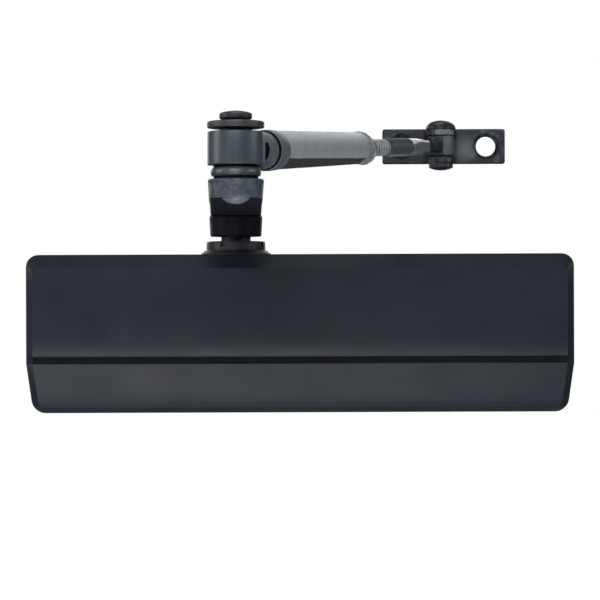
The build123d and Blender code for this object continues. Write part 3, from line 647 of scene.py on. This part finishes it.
def make_main_arm():
    """A forging: drafted sides, a thin flash at its upper edge and a chamfered lower edge."""
    bar = stack("bar", levels(arm_outline(), [
        (ARM_UNDER, 1.5), (ARM_UNDER + 0.25, 1.15), (ARM_UNDER + 1.2, 0.75), (ARM_UNDER + 1.6, 0.65),
        (ARM_UNDER + 4.4, 0.55), (ARM_TOP - 1.9, 0.5), (ARM_TOP - 1.5, 0.3), (ARM_TOP - 1.1, 0.0),
        (ARM_TOP - 0.5, 0.0), (ARM_TOP - 0.1, 0.3), (ARM_TOP, 0.9),
    ]), ARM_FRAME)
    piece = link(bar, "forged_arm")
    hub = soften([
        (0, HUB_BOTTOM, 0), (14.0, HUB_BOTTOM), (14.3, HUB_BOTTOM + 0.8), (14.85, ARM_UNDER - 0.8, 0.3),
        (14.0, ARM_UNDER + 1.2, 0), (0, ARM_UNDER + 1.2, 0),
    ], 0.4)
    combine(piece, [lathe("hub", hub, ARM_FRAME, steps=80)], "UNION")
    square = 5.55
    socket = [(-square, -square), (square, -square), (square, square), (-square, square)]
    pin_hole = circle(ELBOW_PIN_RADIUS + FIT, 48, ARM_LENGTH)
    cutters = []
    for outline, bottom in ((socket, HUB_BOTTOM), (pin_hole, ARM_UNDER)):
        cutters.append(prism("cutter", outline, bottom - 2, ARM_TOP + 2, ARM_FRAME))
    combine(piece, cutters)
    finish_piece(piece, "spindle_body", ARM_SHADED_PAINT, ["main_arm"],
                 bevel=0.25, angle=32, segments=2)
    # Painted light: the elbow end's faces, except its underside, get the lit copy of the arm's paint; the
    # rest keeps the shaded copy.
    repaint(piece, ARM_END_LIT_PAINT, lambda point, normal: point.y < ELBOW.y + 4 and normal.z > -0.72)
    # A lighter band along the elbow end's lower chamfer.
    repaint(piece, LIGHT_CHAMFER_BAND, lambda point, normal: (
        point.y < ELBOW.y + 4 and ARM_UNDER + 0.1 < point.z < ARM_UNDER + 0.6 and normal.z > -0.95))


make_main_arm()

SCREW_LOW, SCREW_HIGH = box_mm("arm_screw")
WASHER_LOW, WASHER_HIGH = box_mm("arm_washer")


def hex_screw(name, place, head_bottom, head_top, across, shank_radius, shank_bottom):
    """A hexagon screw: a bevelled head with a washer face, and its shank."""
    flats = circle(across / 2 / cos(pi / 6), 6)
    piece = link(prism("head", flats, head_bottom + 0.3, head_top, place), name)
    crown = soften([
        (0, head_bottom, 0), (across / 2 - 0.2, head_bottom), (across / 2 + 1.4, head_bottom + 0.9, 0),
        (across / 2 + 1.4, head_top - 1.0, 0), (across / 2 - 0.3, head_top), (0, head_top, 0),
    ], 0.2)
    combine(piece, [lathe("crown", crown, place, steps=64)], "INTERSECT")
    shank = [(0, shank_bottom), (shank_radius - 0.4, shank_bottom), (shank_radius, shank_bottom + 0.5),
             (shank_radius, head_bottom + 1), (0, head_bottom + 1)]
    combine(piece, [lathe("shank", shank, place, steps=48)], "UNION")
    return piece


washer_radius = (WASHER_HIGH.x - WASHER_LOW.x) / 2
screw_radius = 3.2
washer_bore = screw_radius + 0.1
washer = soften([(washer_bore, WASHER_LOW.z), (washer_radius, WASHER_LOW.z), (washer_radius, WASHER_HIGH.z),
                 (washer_bore, WASHER_HIGH.z)], 0.35)
turned_piece("hub_washer", washer, at_spindle, "spindle_body", WASHER_STEEL, "arm_washer")
piece = hex_screw("hub_screw", at_spindle, head_bottom=WASHER_HIGH.z, head_top=SCREW_HIGH.z,
                  across=11.2, shank_radius=screw_radius, shank_bottom=SCREW_LOW.z)
finish_piece(piece, "spindle_body", DARK_STEEL, ["arm_screw"], bevel=0.15, angle=30, segments=2)

# -------- elbow
EYE_LOW, EYE_HIGH = (point.z for point in box_mm("elbow_bush"))
EYE_MIDDLE = (EYE_LOW + EYE_HIGH) / 2
SPACER_LOW, SPACER_HIGH = box_mm("elbow_spacer")
PIN_LOW, PIN_HIGH = box_mm("elbow_pin")
SPRING_LOW, SPRING_HIGH = box_mm("elbow_spring_washer")
BIG_LOW, BIG_HIGH = box_mm("elbow_washer")


def dome(radius, base, peak, steps=8):
    """Points of a spherical dome in profile, from its rim to its top."""
    height = peak - base
    ball = (radius**2 + height**2) / (2 * abs(height))
    centre = base + (height - ball if height > 0 else height + ball)
    result = []
    for step in range(steps + 1):
        reach = radius * cos(pi / 2 * step / steps)
        rise = (ball**2 - reach**2) ** 0.5
        result.append((reach, centre + rise if height > 0 else centre - rise))
    return result


spacer_radius = (SPACER_HIGH.x - SPACER_LOW.x) / 2
ring_low, ring_high = 75.2, 79.2
spacer_neck = 10.3
spacer_bore = ELBOW_PIN_RADIUS + 0.1
spacer = soften([
    (spacer_bore, SPACER_LOW.z), (spacer_neck, SPACER_LOW.z, 0.1), (spacer_neck, ring_low, 0.2),
    (spacer_radius - 0.5, ring_low, 0.8), (spacer_radius, ring_low + 1.4, 1.3),
    (spacer_radius - 0.15, ring_high - 1.2, 1.2), (spacer_radius - 0.9, ring_high, 0.8),
    (spacer_neck, ring_high, 0.2), (spacer_neck, SPACER_HIGH.z, 0.1), (spacer_bore, SPACER_HIGH.z, 0),
], 0.2)
piece = turned_piece("elbow_ring", spacer, at_elbow, "spindle_body", RING_STEEL, "elbow_spacer")
# Painted shade: the ring's necks, in the gaps above and below it, get the near-black recess colour.
repaint(piece, RECESS_PAINTED_SHADE, lambda point, _: (point - ELBOW).xy.length < spacer_neck + 0.3)

ring_bore = ELBOW_PIN_RADIUS + 0.2
wave_radius = 7.5
wave = soften([(ring_bore, SPRING_LOW.z), (wave_radius, SPRING_LOW.z), (wave_radius, SPRING_HIGH.z),
               (ring_bore, SPRING_HIGH.z)], 0.3)
turned_piece("wave_washer", wave, at_elbow, "spindle_body", BLACK_PLASTIC,
             "elbow_spring_washer")

big_radius = (BIG_HIGH.x - BIG_LOW.x) / 2
big = soften([
    (ring_bore, BIG_LOW.z, 0.2), (big_radius - 2.5, BIG_LOW.z, 2), (big_radius, BIG_LOW.z + 0.25, 0.7),
    (big_radius, BIG_HIGH.z, 0.8), (ring_bore, BIG_HIGH.z, 0.2),
], 0.4)
turned_piece("large_washer", big, at_elbow, "spindle_body", WASHER_STEEL, "elbow_washer")

head_radius = (PIN_HIGH.x - PIN_LOW.x) / 2
head_side = PIN_HIGH.z - 1.5
rivet_tail = 6.5
tail_low = PIN_LOW.z + 0.4
pin = [(0, tail_low)] + dome(rivet_tail, ARM_UNDER, tail_low)[::-1][1:-1]
pin += soften([(rivet_tail, ARM_UNDER - 0.01, 0), (rivet_tail, ARM_UNDER, 0),
               (ELBOW_PIN_RADIUS, ARM_UNDER, 0), (ELBOW_PIN_RADIUS, BIG_HIGH.z, 0),
               (head_radius - 0.5, BIG_HIGH.z, 0.2), (head_radius - 0.7, BIG_HIGH.z + 1.0, 0.2),
               (head_radius, BIG_HIGH.z + 1.5, 0.4), (head_radius, head_side, 0.3),
               (head_radius - 0.6, head_side + 0.5, 0)], 0)
pin += dome(head_radius - 0.6, head_side + 0.5, PIN_HIGH.z)[1:]
piece = turned_piece("elbow_rivet", pin, at_elbow, "spindle_body", PIN_STEEL, "elbow_pin")
# Painted highlight: the rivet's lower dome, below the arm, gets a lighter colour.
repaint(piece, PAINTED_HIGHLIGHT_STEEL, lambda point, _: point.z < ARM_UNDER)
# Painted shade: the undercut beneath the rivet's head gets the near-black recess colour.
repaint(piece, RECESS_PAINTED_SHADE, lambda point, _: BIG_HIGH.z < point.z < BIG_HIGH.z + 1.15)

# -------- forearm
eye_radius = 13.15
shank_radius = 6.55
FERRULE = (25.8, 40.0)
TUBE_END = 139.0
NOSE_END = 154.0
neck_radius = 9.0
SLOT_CENTRE = Vector((ELBOW.x + 14.6, ELBOW.y, EYE_MIDDLE - 0.5))
SLOT_HALF_WIDTH = 1.15
SLOT_HALF_HEIGHT = 4.4


def in_slot(point, _):
    """Whether a face lies inside the neck's slot: on its floor or one of its walls."""
    return (abs(point.x - SLOT_CENTRE.x) < SLOT_HALF_WIDTH + 0.02
            and abs(point.z - SLOT_CENTRE.z) < SLOT_HALF_HEIGHT + 0.02
            and point.y < FOREARM_START.y + 22 and off_forearm(point) < 8.3)


def make_forearm_eye():
    """A ring with rounded rims and a stout neck that has a slot in its side."""
    ring = soften([(EYE_BORE, EYE_LOW), (eye_radius, EYE_LOW), (eye_radius, EYE_HIGH),
                   (EYE_BORE, EYE_HIGH)], 0.5)
    piece = link(lathe("forearm_ring", ring, at_elbow, steps=128), "forearm_ring")
    neck = soften([
        (0, 9.2, 0), (7.0, 9.2), (8.3, 16.0, 3), (neck_radius, 22.5, 2), (neck_radius, FERRULE[0] - 0.9, 0.5),
        (8.8, FERRULE[0] - 0.2, 0.2), (8.8, FERRULE[0] + 0.2, 0), (shank_radius, FERRULE[0] + 0.2, 0),
        (shank_radius, 60.0, 0.8), (0, 60.0, 0),
    ], 0.5)
    combine(piece, [lathe("neck", neck, FOREARM_FRAME, steps=96)], "UNION")
    bore = prism("bore", circle(EYE_BORE, 96), EYE_LOW - 1, EYE_HIGH + 1, at_elbow)
    slot_outline = soften([(-SLOT_HALF_WIDTH, -SLOT_HALF_HEIGHT), (SLOT_HALF_WIDTH, -SLOT_HALF_HEIGHT),
                           (SLOT_HALF_WIDTH, SLOT_HALF_HEIGHT), (-SLOT_HALF_WIDTH, SLOT_HALF_HEIGHT)], 1.0)
    slot_frame = Matrix.Translation(SLOT_CENTRE) @ Matrix.Rotation(radians(90), 4, "X")
    combine(piece, [bore, prism("slot", slot_outline, -13.0, 10.0, slot_frame)])
    finish_piece(piece, "forearm_body", EYE_PAINT, ["forearm_eye"],
                 bevel=0.3, angle=35, segments=2)
    repaint(piece, FERRULE_PAINT, lambda point, _: (point - ELBOW).xy.length > eye_radius + 0.3)
    # Painted shade: the slot's floor and walls get the near-black recess colour.
    repaint(piece, RECESS_PAINTED_SHADE, in_slot)


make_forearm_eye()

ferrule = soften([
    (6.6, FERRULE[0]), (9.0, FERRULE[0], 0.2), (9.0, FERRULE[0] + 1.9, 0.3), (8.0, FERRULE[0] + 2.4, 0.3),
    (8.2, FERRULE[0] + 3.0, 0.2), (9.75, FERRULE[0] + 3.9, 0.6), (9.8, FERRULE[0] + 8.5, 1.0),
    (9.55, FERRULE[1] - 0.5, 0.5), (9.2, FERRULE[1], 0.2), (6.6, FERRULE[1], 0),
], 0.2)
piece = turned_piece("tube_ferrule", ferrule, FOREARM_FRAME, "forearm_body", FERRULE_PAINT,
                     "forearm_ferrule")
# Painted shade: the ferrule's groove gets the near-black recess colour.
repaint(piece, RECESS_PAINTED_SHADE, lambda point, _: (
    off_forearm(point) < 8.9 and FERRULE[0] + 1.7 < along_forearm(point) < FERRULE[0] + 4.2))

flat_turn = radians(240)
flat_depth = 7.72
tube_bore = 6.7


def flattened(radius, height, angle):
    """Presses a flat along the tube's underside; the flat faces down and to the front."""
    away = abs((angle - flat_turn + pi) % tau - pi)
    if away < pi / 2 - 0.05 and radius > tube_bore + 0.3:
        return min(radius, flat_depth / cos(away)), height
    return radius, height


start_radius, end_radius = 9.3, 8.25
stations = 12
tube_start, tube_end = FERRULE[1] + FIT, TUBE_END + FIT
tube = [(start_radius - 1.4, tube_start)]
for station in range(stations + 1):
    share = station / stations
    radius = start_radius + (end_radius - start_radius) * share
    tube.append((radius, tube_start + (tube_end - tube_start) * share))
tube += [(tube_bore, tube_end), (tube_bore, tube_start)]
piece = link(lathe("arm_tube", tube, FOREARM_FRAME, steps=180, shape=flattened), "arm_tube")
finish_piece(piece, "forearm_body", TUBE_PAINT, ["forearm_tube"], bevel=0.35, angle=14)
FLAT_NORMAL = FOREARM_FRAME.to_3x3() @ Vector((cos(flat_turn), sin(flat_turn), 0))
# Painted shade: the flat along the tube's underside gets the dark copy.
repaint(piece, TUBE_FLAT_PAINTED_SHADE, lambda point, normal: (
    normal.dot(FLAT_NORMAL) > 0.99 and off_forearm(point) > tube_bore + 0.3))


nose_bore = 5.05
lip_radius = 5.75
groove_radius = 5.35


def crimped(radius, height, angle):
    """Makes the nose's outside uneven: a slanting ridge where the tube is rolled in, and a cone beyond it."""
    if radius < nose_bore + 0.1 or height < TUBE_END:
        return radius, height
    ridge_at = 145.6 - 3.6 * sin(angle)
    cone_end = NOSE_END - 2.4
    if height < ridge_at:
        radius = end_radius - 0.15
    elif height < cone_end:
        share = (height - ridge_at) / (cone_end - ridge_at)
        radius = end_radius - 0.3 - 2.2 * share ** (0.95 + 0.25 * sin(angle))
    else:
        radius = groove_radius if height < NOSE_END - 1.5 else lip_radius
    ridge = 0.7 * exp(-(((height - ridge_at) / 0.8) ** 2))
    dent = 0.18 * sin(3 * angle + height * 0.5) * sin(height * 0.9)
    return radius + ridge + dent * max(0.0, min(1.0, (cone_end - height) / 3)), height


spigot_start = TUBE_END - 2.0
spigot_radius = tube_bore - 0.15
nose_rows = 42
nose = [(nose_bore, spigot_start), (spigot_radius, spigot_start), (spigot_radius, TUBE_END + 0.1),
        (end_radius - 0.4, TUBE_END + 0.1)]
for row in range(nose_rows + 1):
    nose.append((lip_radius, TUBE_END + 0.3 + (NOSE_END - TUBE_END - 0.4) * row / nose_rows))
nose.append((nose_bore + 0.05, NOSE_END))
piece = link(lathe("crimped_nose", nose, FOREARM_FRAME, steps=120, shape=crimped), "crimped_nose")


def off_the_ends(point):
    """Zero at the nose's two end faces and bore, and one on the skin between them."""
    return 1.0 if TUBE_END + 0.4 < along_forearm(point) < NOSE_END - 0.5 and off_forearm(point) > 5.3 else 0.0


roughen(piece, 0.12, 2.4, 5, off_the_ends)
finish_piece(piece, "forearm_body", NOSE_PAINT, ["tube_nose"])
# Painted shade: the groove near the nose's end gets the near-black recess colour.
repaint(piece, RECESS_PAINTED_SHADE, lambda point, _: NOSE_END - 2.5 < along_forearm(point) < NOSE_END - 1.3)

# -------- threaded rod
ROD_START = 100.0
BRIGHT_END = 178.0
THREAD_END = 208.5
BRIGHT_START = 148.0


def threaded_bar(name, start, end, crest, root, pitch, rows_per_turn, steps=56):
    """A bar whose surface rises and falls along a helix, with plain faces at its ends."""
    rings = []
    length = end - start
    count = max(4, int(length / pitch * rows_per_turn))
    for row in range(count + 1):
        height = start + length * row / count
        fade = min(1.0, (height - start) / pitch, (end - height) / pitch)
        ring = []
        for step in range(steps):
            angle = tau * step / steps
            phase = (height / pitch - step / steps) % 1.0
            tooth = max(0.0, min(1.0, 2.6 * (0.5 - abs(phase - 0.5)) - 0.25))
            radius = root + (crest - root) * tooth * fade
            ring.append((radius * cos(angle), radius * sin(angle), height))
        rings.append(ring)
    return stack(name, rings, FOREARM_FRAME)


def blocky(half_width, half_height, power, height, steps=56):
    """A ring between an ellipse (power 2) and a rounded rectangle (a high power)."""
    ring = []
    for step in range(steps):
        angle = tau * step / steps
        total = (abs(cos(angle)) / half_width) ** power + (abs(sin(angle)) / half_height) ** power
        reach = total ** (-1 / power)
        ring.append((reach * cos(angle), reach * sin(angle), height))
    return ring


def make_adjust_rod():
    """The forearm's rod: bright coarse thread, fine thread painted dark as shade, a flattened neck and the
    shoe's eye.
    """
    overlap = 0.2
    plain_radius = 4.3
    bright_root = 4.1
    plain = [blocky(radius, radius, 2, height) for radius, height in (
        (3.6, ROD_START), (plain_radius, ROD_START + 0.8), (plain_radius, BRIGHT_START + overlap))]
    piece = link(stack("plain", plain, FOREARM_FRAME), "threaded_rod")
    bright = threaded_bar("bright", BRIGHT_START, BRIGHT_END + overlap,
                          crest=4.55, root=bright_root, pitch=3.2, rows_per_turn=13)
    dark = threaded_bar("dark", BRIGHT_END, THREAD_END + overlap,
                        crest=4.99, root=4.6, pitch=1.0, rows_per_turn=6)
    neck_end = PIN_TO_PIN - 5.5
    bright_neck_end = 235.0
    neck = [blocky(4.5, 4.5, 2, THREAD_END), blocky(4.6, 4.75, 2.2, THREAD_END + 1.0)]
    for share, width, height, power in (
        (0.12, 4.4, 4.7, 2.6), (0.22, 4.1, 4.5, 3.5), (0.34, 3.8, 4.2, 5.0), (0.46, 3.6, 3.7, 4.0),
        (0.58, 3.5, 3.4, 5.0), (0.7, 3.5, 3.1, 4.0), (0.86, 3.5, 3.2, 5.0), (1.0, 3.8, 3.6, 4.0),
    ):
        neck.append(blocky(width, height, power, THREAD_END + (neck_end - THREAD_END) * share))
    half_height = 5.8
    low, high = SHOE_PIN.z - half_height, SHOE_PIN.z + half_height
    bore = SHOE_PIN_RADIUS + FIT
    outside = 7.5
    eye = soften([(bore, low, 0.3), (outside, low), (outside, high), (bore, high, 0.3)], 1.2)
    tools = [bright, dark, stack("neck", neck, FOREARM_FRAME), lathe("eye", eye, at_shoe_pin)]
    combine(piece, tools, "UNION")
    finish_piece(piece, "rod_body", BRIGHT_STEEL, ["adjust_rod"])
    # Painted shade: the fine thread section gets the dark shaded steel.
    repaint(piece, THREAD_PAINTED_SHADE, lambda point, _: BRIGHT_END < along_forearm(point) < THREAD_END)
    # Painted shade: the coarse thread's roots get a darker steel, as shade in the thread's creases.
    repaint(piece, DARK_STEEL, lambda point, _: (
        BRIGHT_START < along_forearm(point) < BRIGHT_END and off_forearm(point) < bright_root + 0.03))
    # Painted highlight: the neck's faces get the near-white steel, then those not facing up get the darker
    # shaded copy.
    repaint(piece, NECK_TOP_HIGHLIGHT, lambda point, _: THREAD_END <= along_forearm(point) < bright_neck_end)
    repaint(piece, NECK_SIDE_SHADE, lambda point, normal: (
        THREAD_END <= along_forearm(point) < bright_neck_end and normal.z < 0.2))
    repaint(piece, SHOE_PAINT, lambda point, _: along_forearm(point) >= bright_neck_end)
    # Painted light: the eye's faces turned to the right get the lit copy; the faces turned away stay dark as
    # shade.
    repaint(piece, EYE_LIT_SIDE, lambda point, normal: (
        (point - SHOE_PIN).xy.length < outside + 0.1 and normal.x > 0.15))


make_adjust_rod()

# -------- shoe
SHOE_FRAME = Matrix.Rotation(radians(90), 4, "X")  # y runs up and z out of the door
SHOE_CENTRE = (SHOE_LOW.x + SHOE_HIGH.x) / 2
SHOE_MIDDLE = (SHOE_LOW.z + SHOE_HIGH.z) / 2
ear_radius = 7.7
ear_thickness = 3.1
EARS_TOP = SHOE_HIGH.z - 1.2
plate_front = 4.0


def make_shoe():
    """A pressed plate with two countersunk holes and two ears that carry the pin."""
    outline = soften([(SHOE_LOW.x, SHOE_LOW.z), (SHOE_HIGH.x, SHOE_LOW.z), (SHOE_HIGH.x, SHOE_HIGH.z),
                      (SHOE_LOW.x, SHOE_HIGH.z)], 1.5, steps=6)
    edge = [(0, 0.35), (0.35, 0), (2.9, 0), (3.4, 0.1), (3.75, 0.35), (3.93, 0.7), (plate_front, 1.1)]
    piece = link(stack("plate", levels(outline, edge), SHOE_FRAME), "shoe_casting")
    back = -plate_front + 0.8
    root = ((10.0, 0.0), (9.3, 1.4), (9.0, 2.6))  # half widths of the ear's flare, at distances off the plate
    arc_steps = 32
    ear = [(SHOE_PIN.x + root[0][0], back)]
    ear += [(SHOE_PIN.x - half, back - off) for half, off in root]
    for step in range(arc_steps + 1):
        turn = pi * step / arc_steps
        ear.append((SHOE_PIN.x - ear_radius * cos(turn), SHOE_PIN.y - ear_radius * sin(turn)))
    ear += [(SHOE_PIN.x + half, back - off) for half, off in root[:0:-1]]
    lows = (SHOE_LOW.z, EARS_TOP - ear_thickness)
    combine(piece, [prism("ear", ear, low, low + ear_thickness) for low in lows], "UNION")
    hole_offset = 24.1
    sink_depth = 1.7
    past = plate_front + 1
    cutters = []
    for side, hole in ((-hole_offset, 5.0), (hole_offset, 5.6)):
        sink = [(0, -1), (hole, -1), (hole, sink_depth), (7.6, plate_front), (8.47, past), (0, past)]
        place = Matrix.Translation((SHOE_CENTRE + side, 0, SHOE_MIDDLE)) @ SHOE_FRAME
        cutters.append(lathe("sink", sink, place))
    bore = circle(SHOE_PIN_RADIUS + FIT, 64)
    cutters.append(prism("bore", bore, SHOE_LOW.z - 1, SHOE_HIGH.z + 1, at_shoe_pin))
    combine(piece, cutters)
    finish_piece(piece, "shoe_body", SHOE_PAINT, ["shoe_bracket"], bevel=0.35, angle=38)
    # Painted highlight: the upper ear's front rim gets a lighter colour.
    repaint(piece, PAINTED_HIGHLIGHT_STEEL, lambda point, normal: (
        EARS_TOP - ear_thickness < point.z < EARS_TOP and normal.y < -0.3 and normal.x > -0.45
        and point.y < -plate_front - 3))


make_shoe()

HEAD_LOW, HEAD_HIGH = box_mm("shoe_pin")
head_radius = 8.4
tail_radius = 6.85
tail_side = SHOE_LOW.z - 2.7
head_rim = EARS_TOP + 0.9
head_steps = 12
pin = [(0, HEAD_LOW.z)] + dome(tail_radius, tail_side, HEAD_LOW.z)[::-1][1:]
pin += [(tail_radius, SHOE_LOW.z), (SHOE_PIN_RADIUS, SHOE_LOW.z), (SHOE_PIN_RADIUS, EARS_TOP),
        (head_radius - 0.3, EARS_TOP), (head_radius, EARS_TOP + 0.4)]
for step in range(head_steps + 1):
    turn = pi / 2 * step / head_steps
    pin.append((head_radius * cos(turn), head_rim + (HEAD_HIGH.z - head_rim) * sin(turn)))
turned_piece("shoe_rivet", pin, at_shoe_pin, "shoe_body", SHOE_PAINT, "shoe_pin")

# -------- main spring
WIRE_RADIUS = 2.3
SPRING_TURNS = 9
SEAT_TURNS = 3  # closed up by the sliding seat; the piston closes up the others
COIL_LOW, COIL_HIGH = box_mm("main_spring")
COIL_CENTRE = (COIL_LOW + COIL_HIGH) / 2
COIL_RADIUS = (COIL_HIGH.z - COIL_LOW.z) / 2 - WIRE_RADIUS
COIL_PITCH = (COIL_HIGH.x - COIL_LOW.x - 2 * WIRE_RADIUS) / SPRING_TURNS


def coil_point(turn):
    """The middle of the wire, with the directions outward and across it."""
    outward = Vector((0, cos(tau * turn), sin(tau * turn)))
    along = Vector((COIL_PITCH / tau / COIL_RADIUS, -outward.z, outward.y)).normalized()
    middle = Vector((COIL_LOW.x + WIRE_RADIUS + COIL_PITCH * turn, COIL_CENTRE.y, COIL_CENTRE.z))
    return middle + outward * COIL_RADIUS, outward, along.cross(outward)


def make_coil(name, first_turn, last_turn, steps=40, sides=14):
    """Some turns of the main spring, a round wire along the coil."""
    rings = []
    for step in range(first_turn * steps, last_turn * steps + 1):
        middle, outward, across = coil_point(step / steps)
        ring = []
        for side in range(sides):
            angle = tau * side / sides
            ring.append(tuple(middle + (outward * cos(angle) + across * sin(angle)) * WIRE_RADIUS))
        rings.append(ring)
    wire = link(stack(name, rings), name)
    finish_piece(wire, "closer_body", SPRING_STEEL, ["main_spring"])
    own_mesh(wire)


make_coil("spring_piston_side", 0, SPRING_TURNS - SEAT_TURNS)
make_coil("spring_seat_side", SPRING_TURNS - SEAT_TURNS, SPRING_TURNS)


# -------- camera, light and floor
def emitter(name, tint, strength):
    """A plain glowing white for the floor and the backdrop."""
    glow = bpy.data.materials.new(name)
    glow.use_nodes = True
    nodes = glow.node_tree.nodes
    nodes.remove(nodes["Principled BSDF"])
    lamp = nodes.new("ShaderNodeEmission")
    set_inputs(lamp, {"Color": tint, "Strength": strength})
    glow.node_tree.links.new(lamp.outputs[0], nodes["Material Output"].inputs["Surface"])
    return glow


def area_light(name, place, target, size, power):
    """A soft rectangular light in metres, aimed at a point."""
    data = bpy.data.lights.new(name, "AREA")
    data.shape = "RECTANGLE"
    data.size, data.size_y = size
    data.energy = power
    lamp = bpy.data.objects.new(name, data)
    lamp.location = place
    lamp.visible_camera = False
    lamp.rotation_euler = (Vector(target) - Vector(place)).to_track_quat("-Z", "Y").to_euler()
    bpy.context.scene.collection.objects.link(lamp)


camera_data = bpy.data.cameras.new("view")
camera_data.lens = 131.95
camera_data.sensor_width = 36
camera_data.clip_end = 20
camera = bpy.data.objects.new("view", camera_data)
CAMERA_PLACE = (0, -1.26, 0.0182)
CAMERA_ROLL = radians(0.2)
camera.matrix_world = (Matrix.Translation(CAMERA_PLACE) @ Matrix.Rotation(CAMERA_ROLL, 4, "Y")
                       @ Matrix.Rotation(radians(90), 4, "X"))
bpy.context.scene.collection.objects.link(camera)
bpy.context.scene.camera = camera

world = bpy.data.worlds.new("studio")
world.use_nodes = True
set_inputs(world.node_tree.nodes["Background"], {"Color": (1.0, 1.0, 1.0, 1.0), "Strength": 0.06})
bpy.context.scene.world = world
bpy.context.scene.view_settings.view_transform = "Standard"

area_light("key", (-0.1, -1.3, 0.62), (0, -0.12, 0.04), (0.9, 0.4), 8.5)
area_light("overhead", (0.0, 0.1, 1.1), (0, -0.1, 0.05), (0.5, 0.3), 3.2)
area_light("front_low", (-0.16, -1.0, -0.3), (-0.04, -0.06, -0.03), (0.8, 0.12), 2.9)
area_light("below", (0.0, -0.3, -0.9), (0, -0.06, 0), (0.6, 0.2), 5)
area_light("left", (-1.2, -0.4, 0.35), (-0.03, -0.2, 0.08), (0.5, 0.8), 4.5)
area_light("right", (1.15, -0.45, 0.5), (0.05, -0.15, 0.08), (0.5, 0.7), 3.4)
area_light("back_left", (-0.6, 1.1, 0.4), (0, -0.1, 0.04), (0.8, 0.8), 4.5)
area_light("back_right", (0.4, 1.15, 0.45), (0, -0.1, 0.04), (0.6, 0.8), 3.5)

WHITE = emitter("studio_white", (1.0, 1.0, 1.0, 1.0), 1.0)
ROOM = 3000
FLOOR_Z = -1400
flat_corners = ((-ROOM, -ROOM), (ROOM, -ROOM), (ROOM, ROOM), (-ROOM, ROOM))
floor = link(mesh_from("floor", [(x, y, FLOOR_Z) for x, y in flat_corners], [(0, 1, 2, 3)]), "floor")
walls = [(x, y, z) for z in (FLOOR_Z - 5, 2 * ROOM) for x, y in flat_corners]
sides = [(i, (i + 1) % 4, (i + 1) % 4 + 4, i + 4) for i in range(4)]
backdrop = link(mesh_from("backdrop", walls, sides + [(4, 5, 6, 7)]), "backdrop")
for plane in (floor, backdrop):
    plane.data.materials.append(WHITE)
    plane.visible_diffuse = False
    plane.visible_glossy = False
    plane.visible_shadow = False
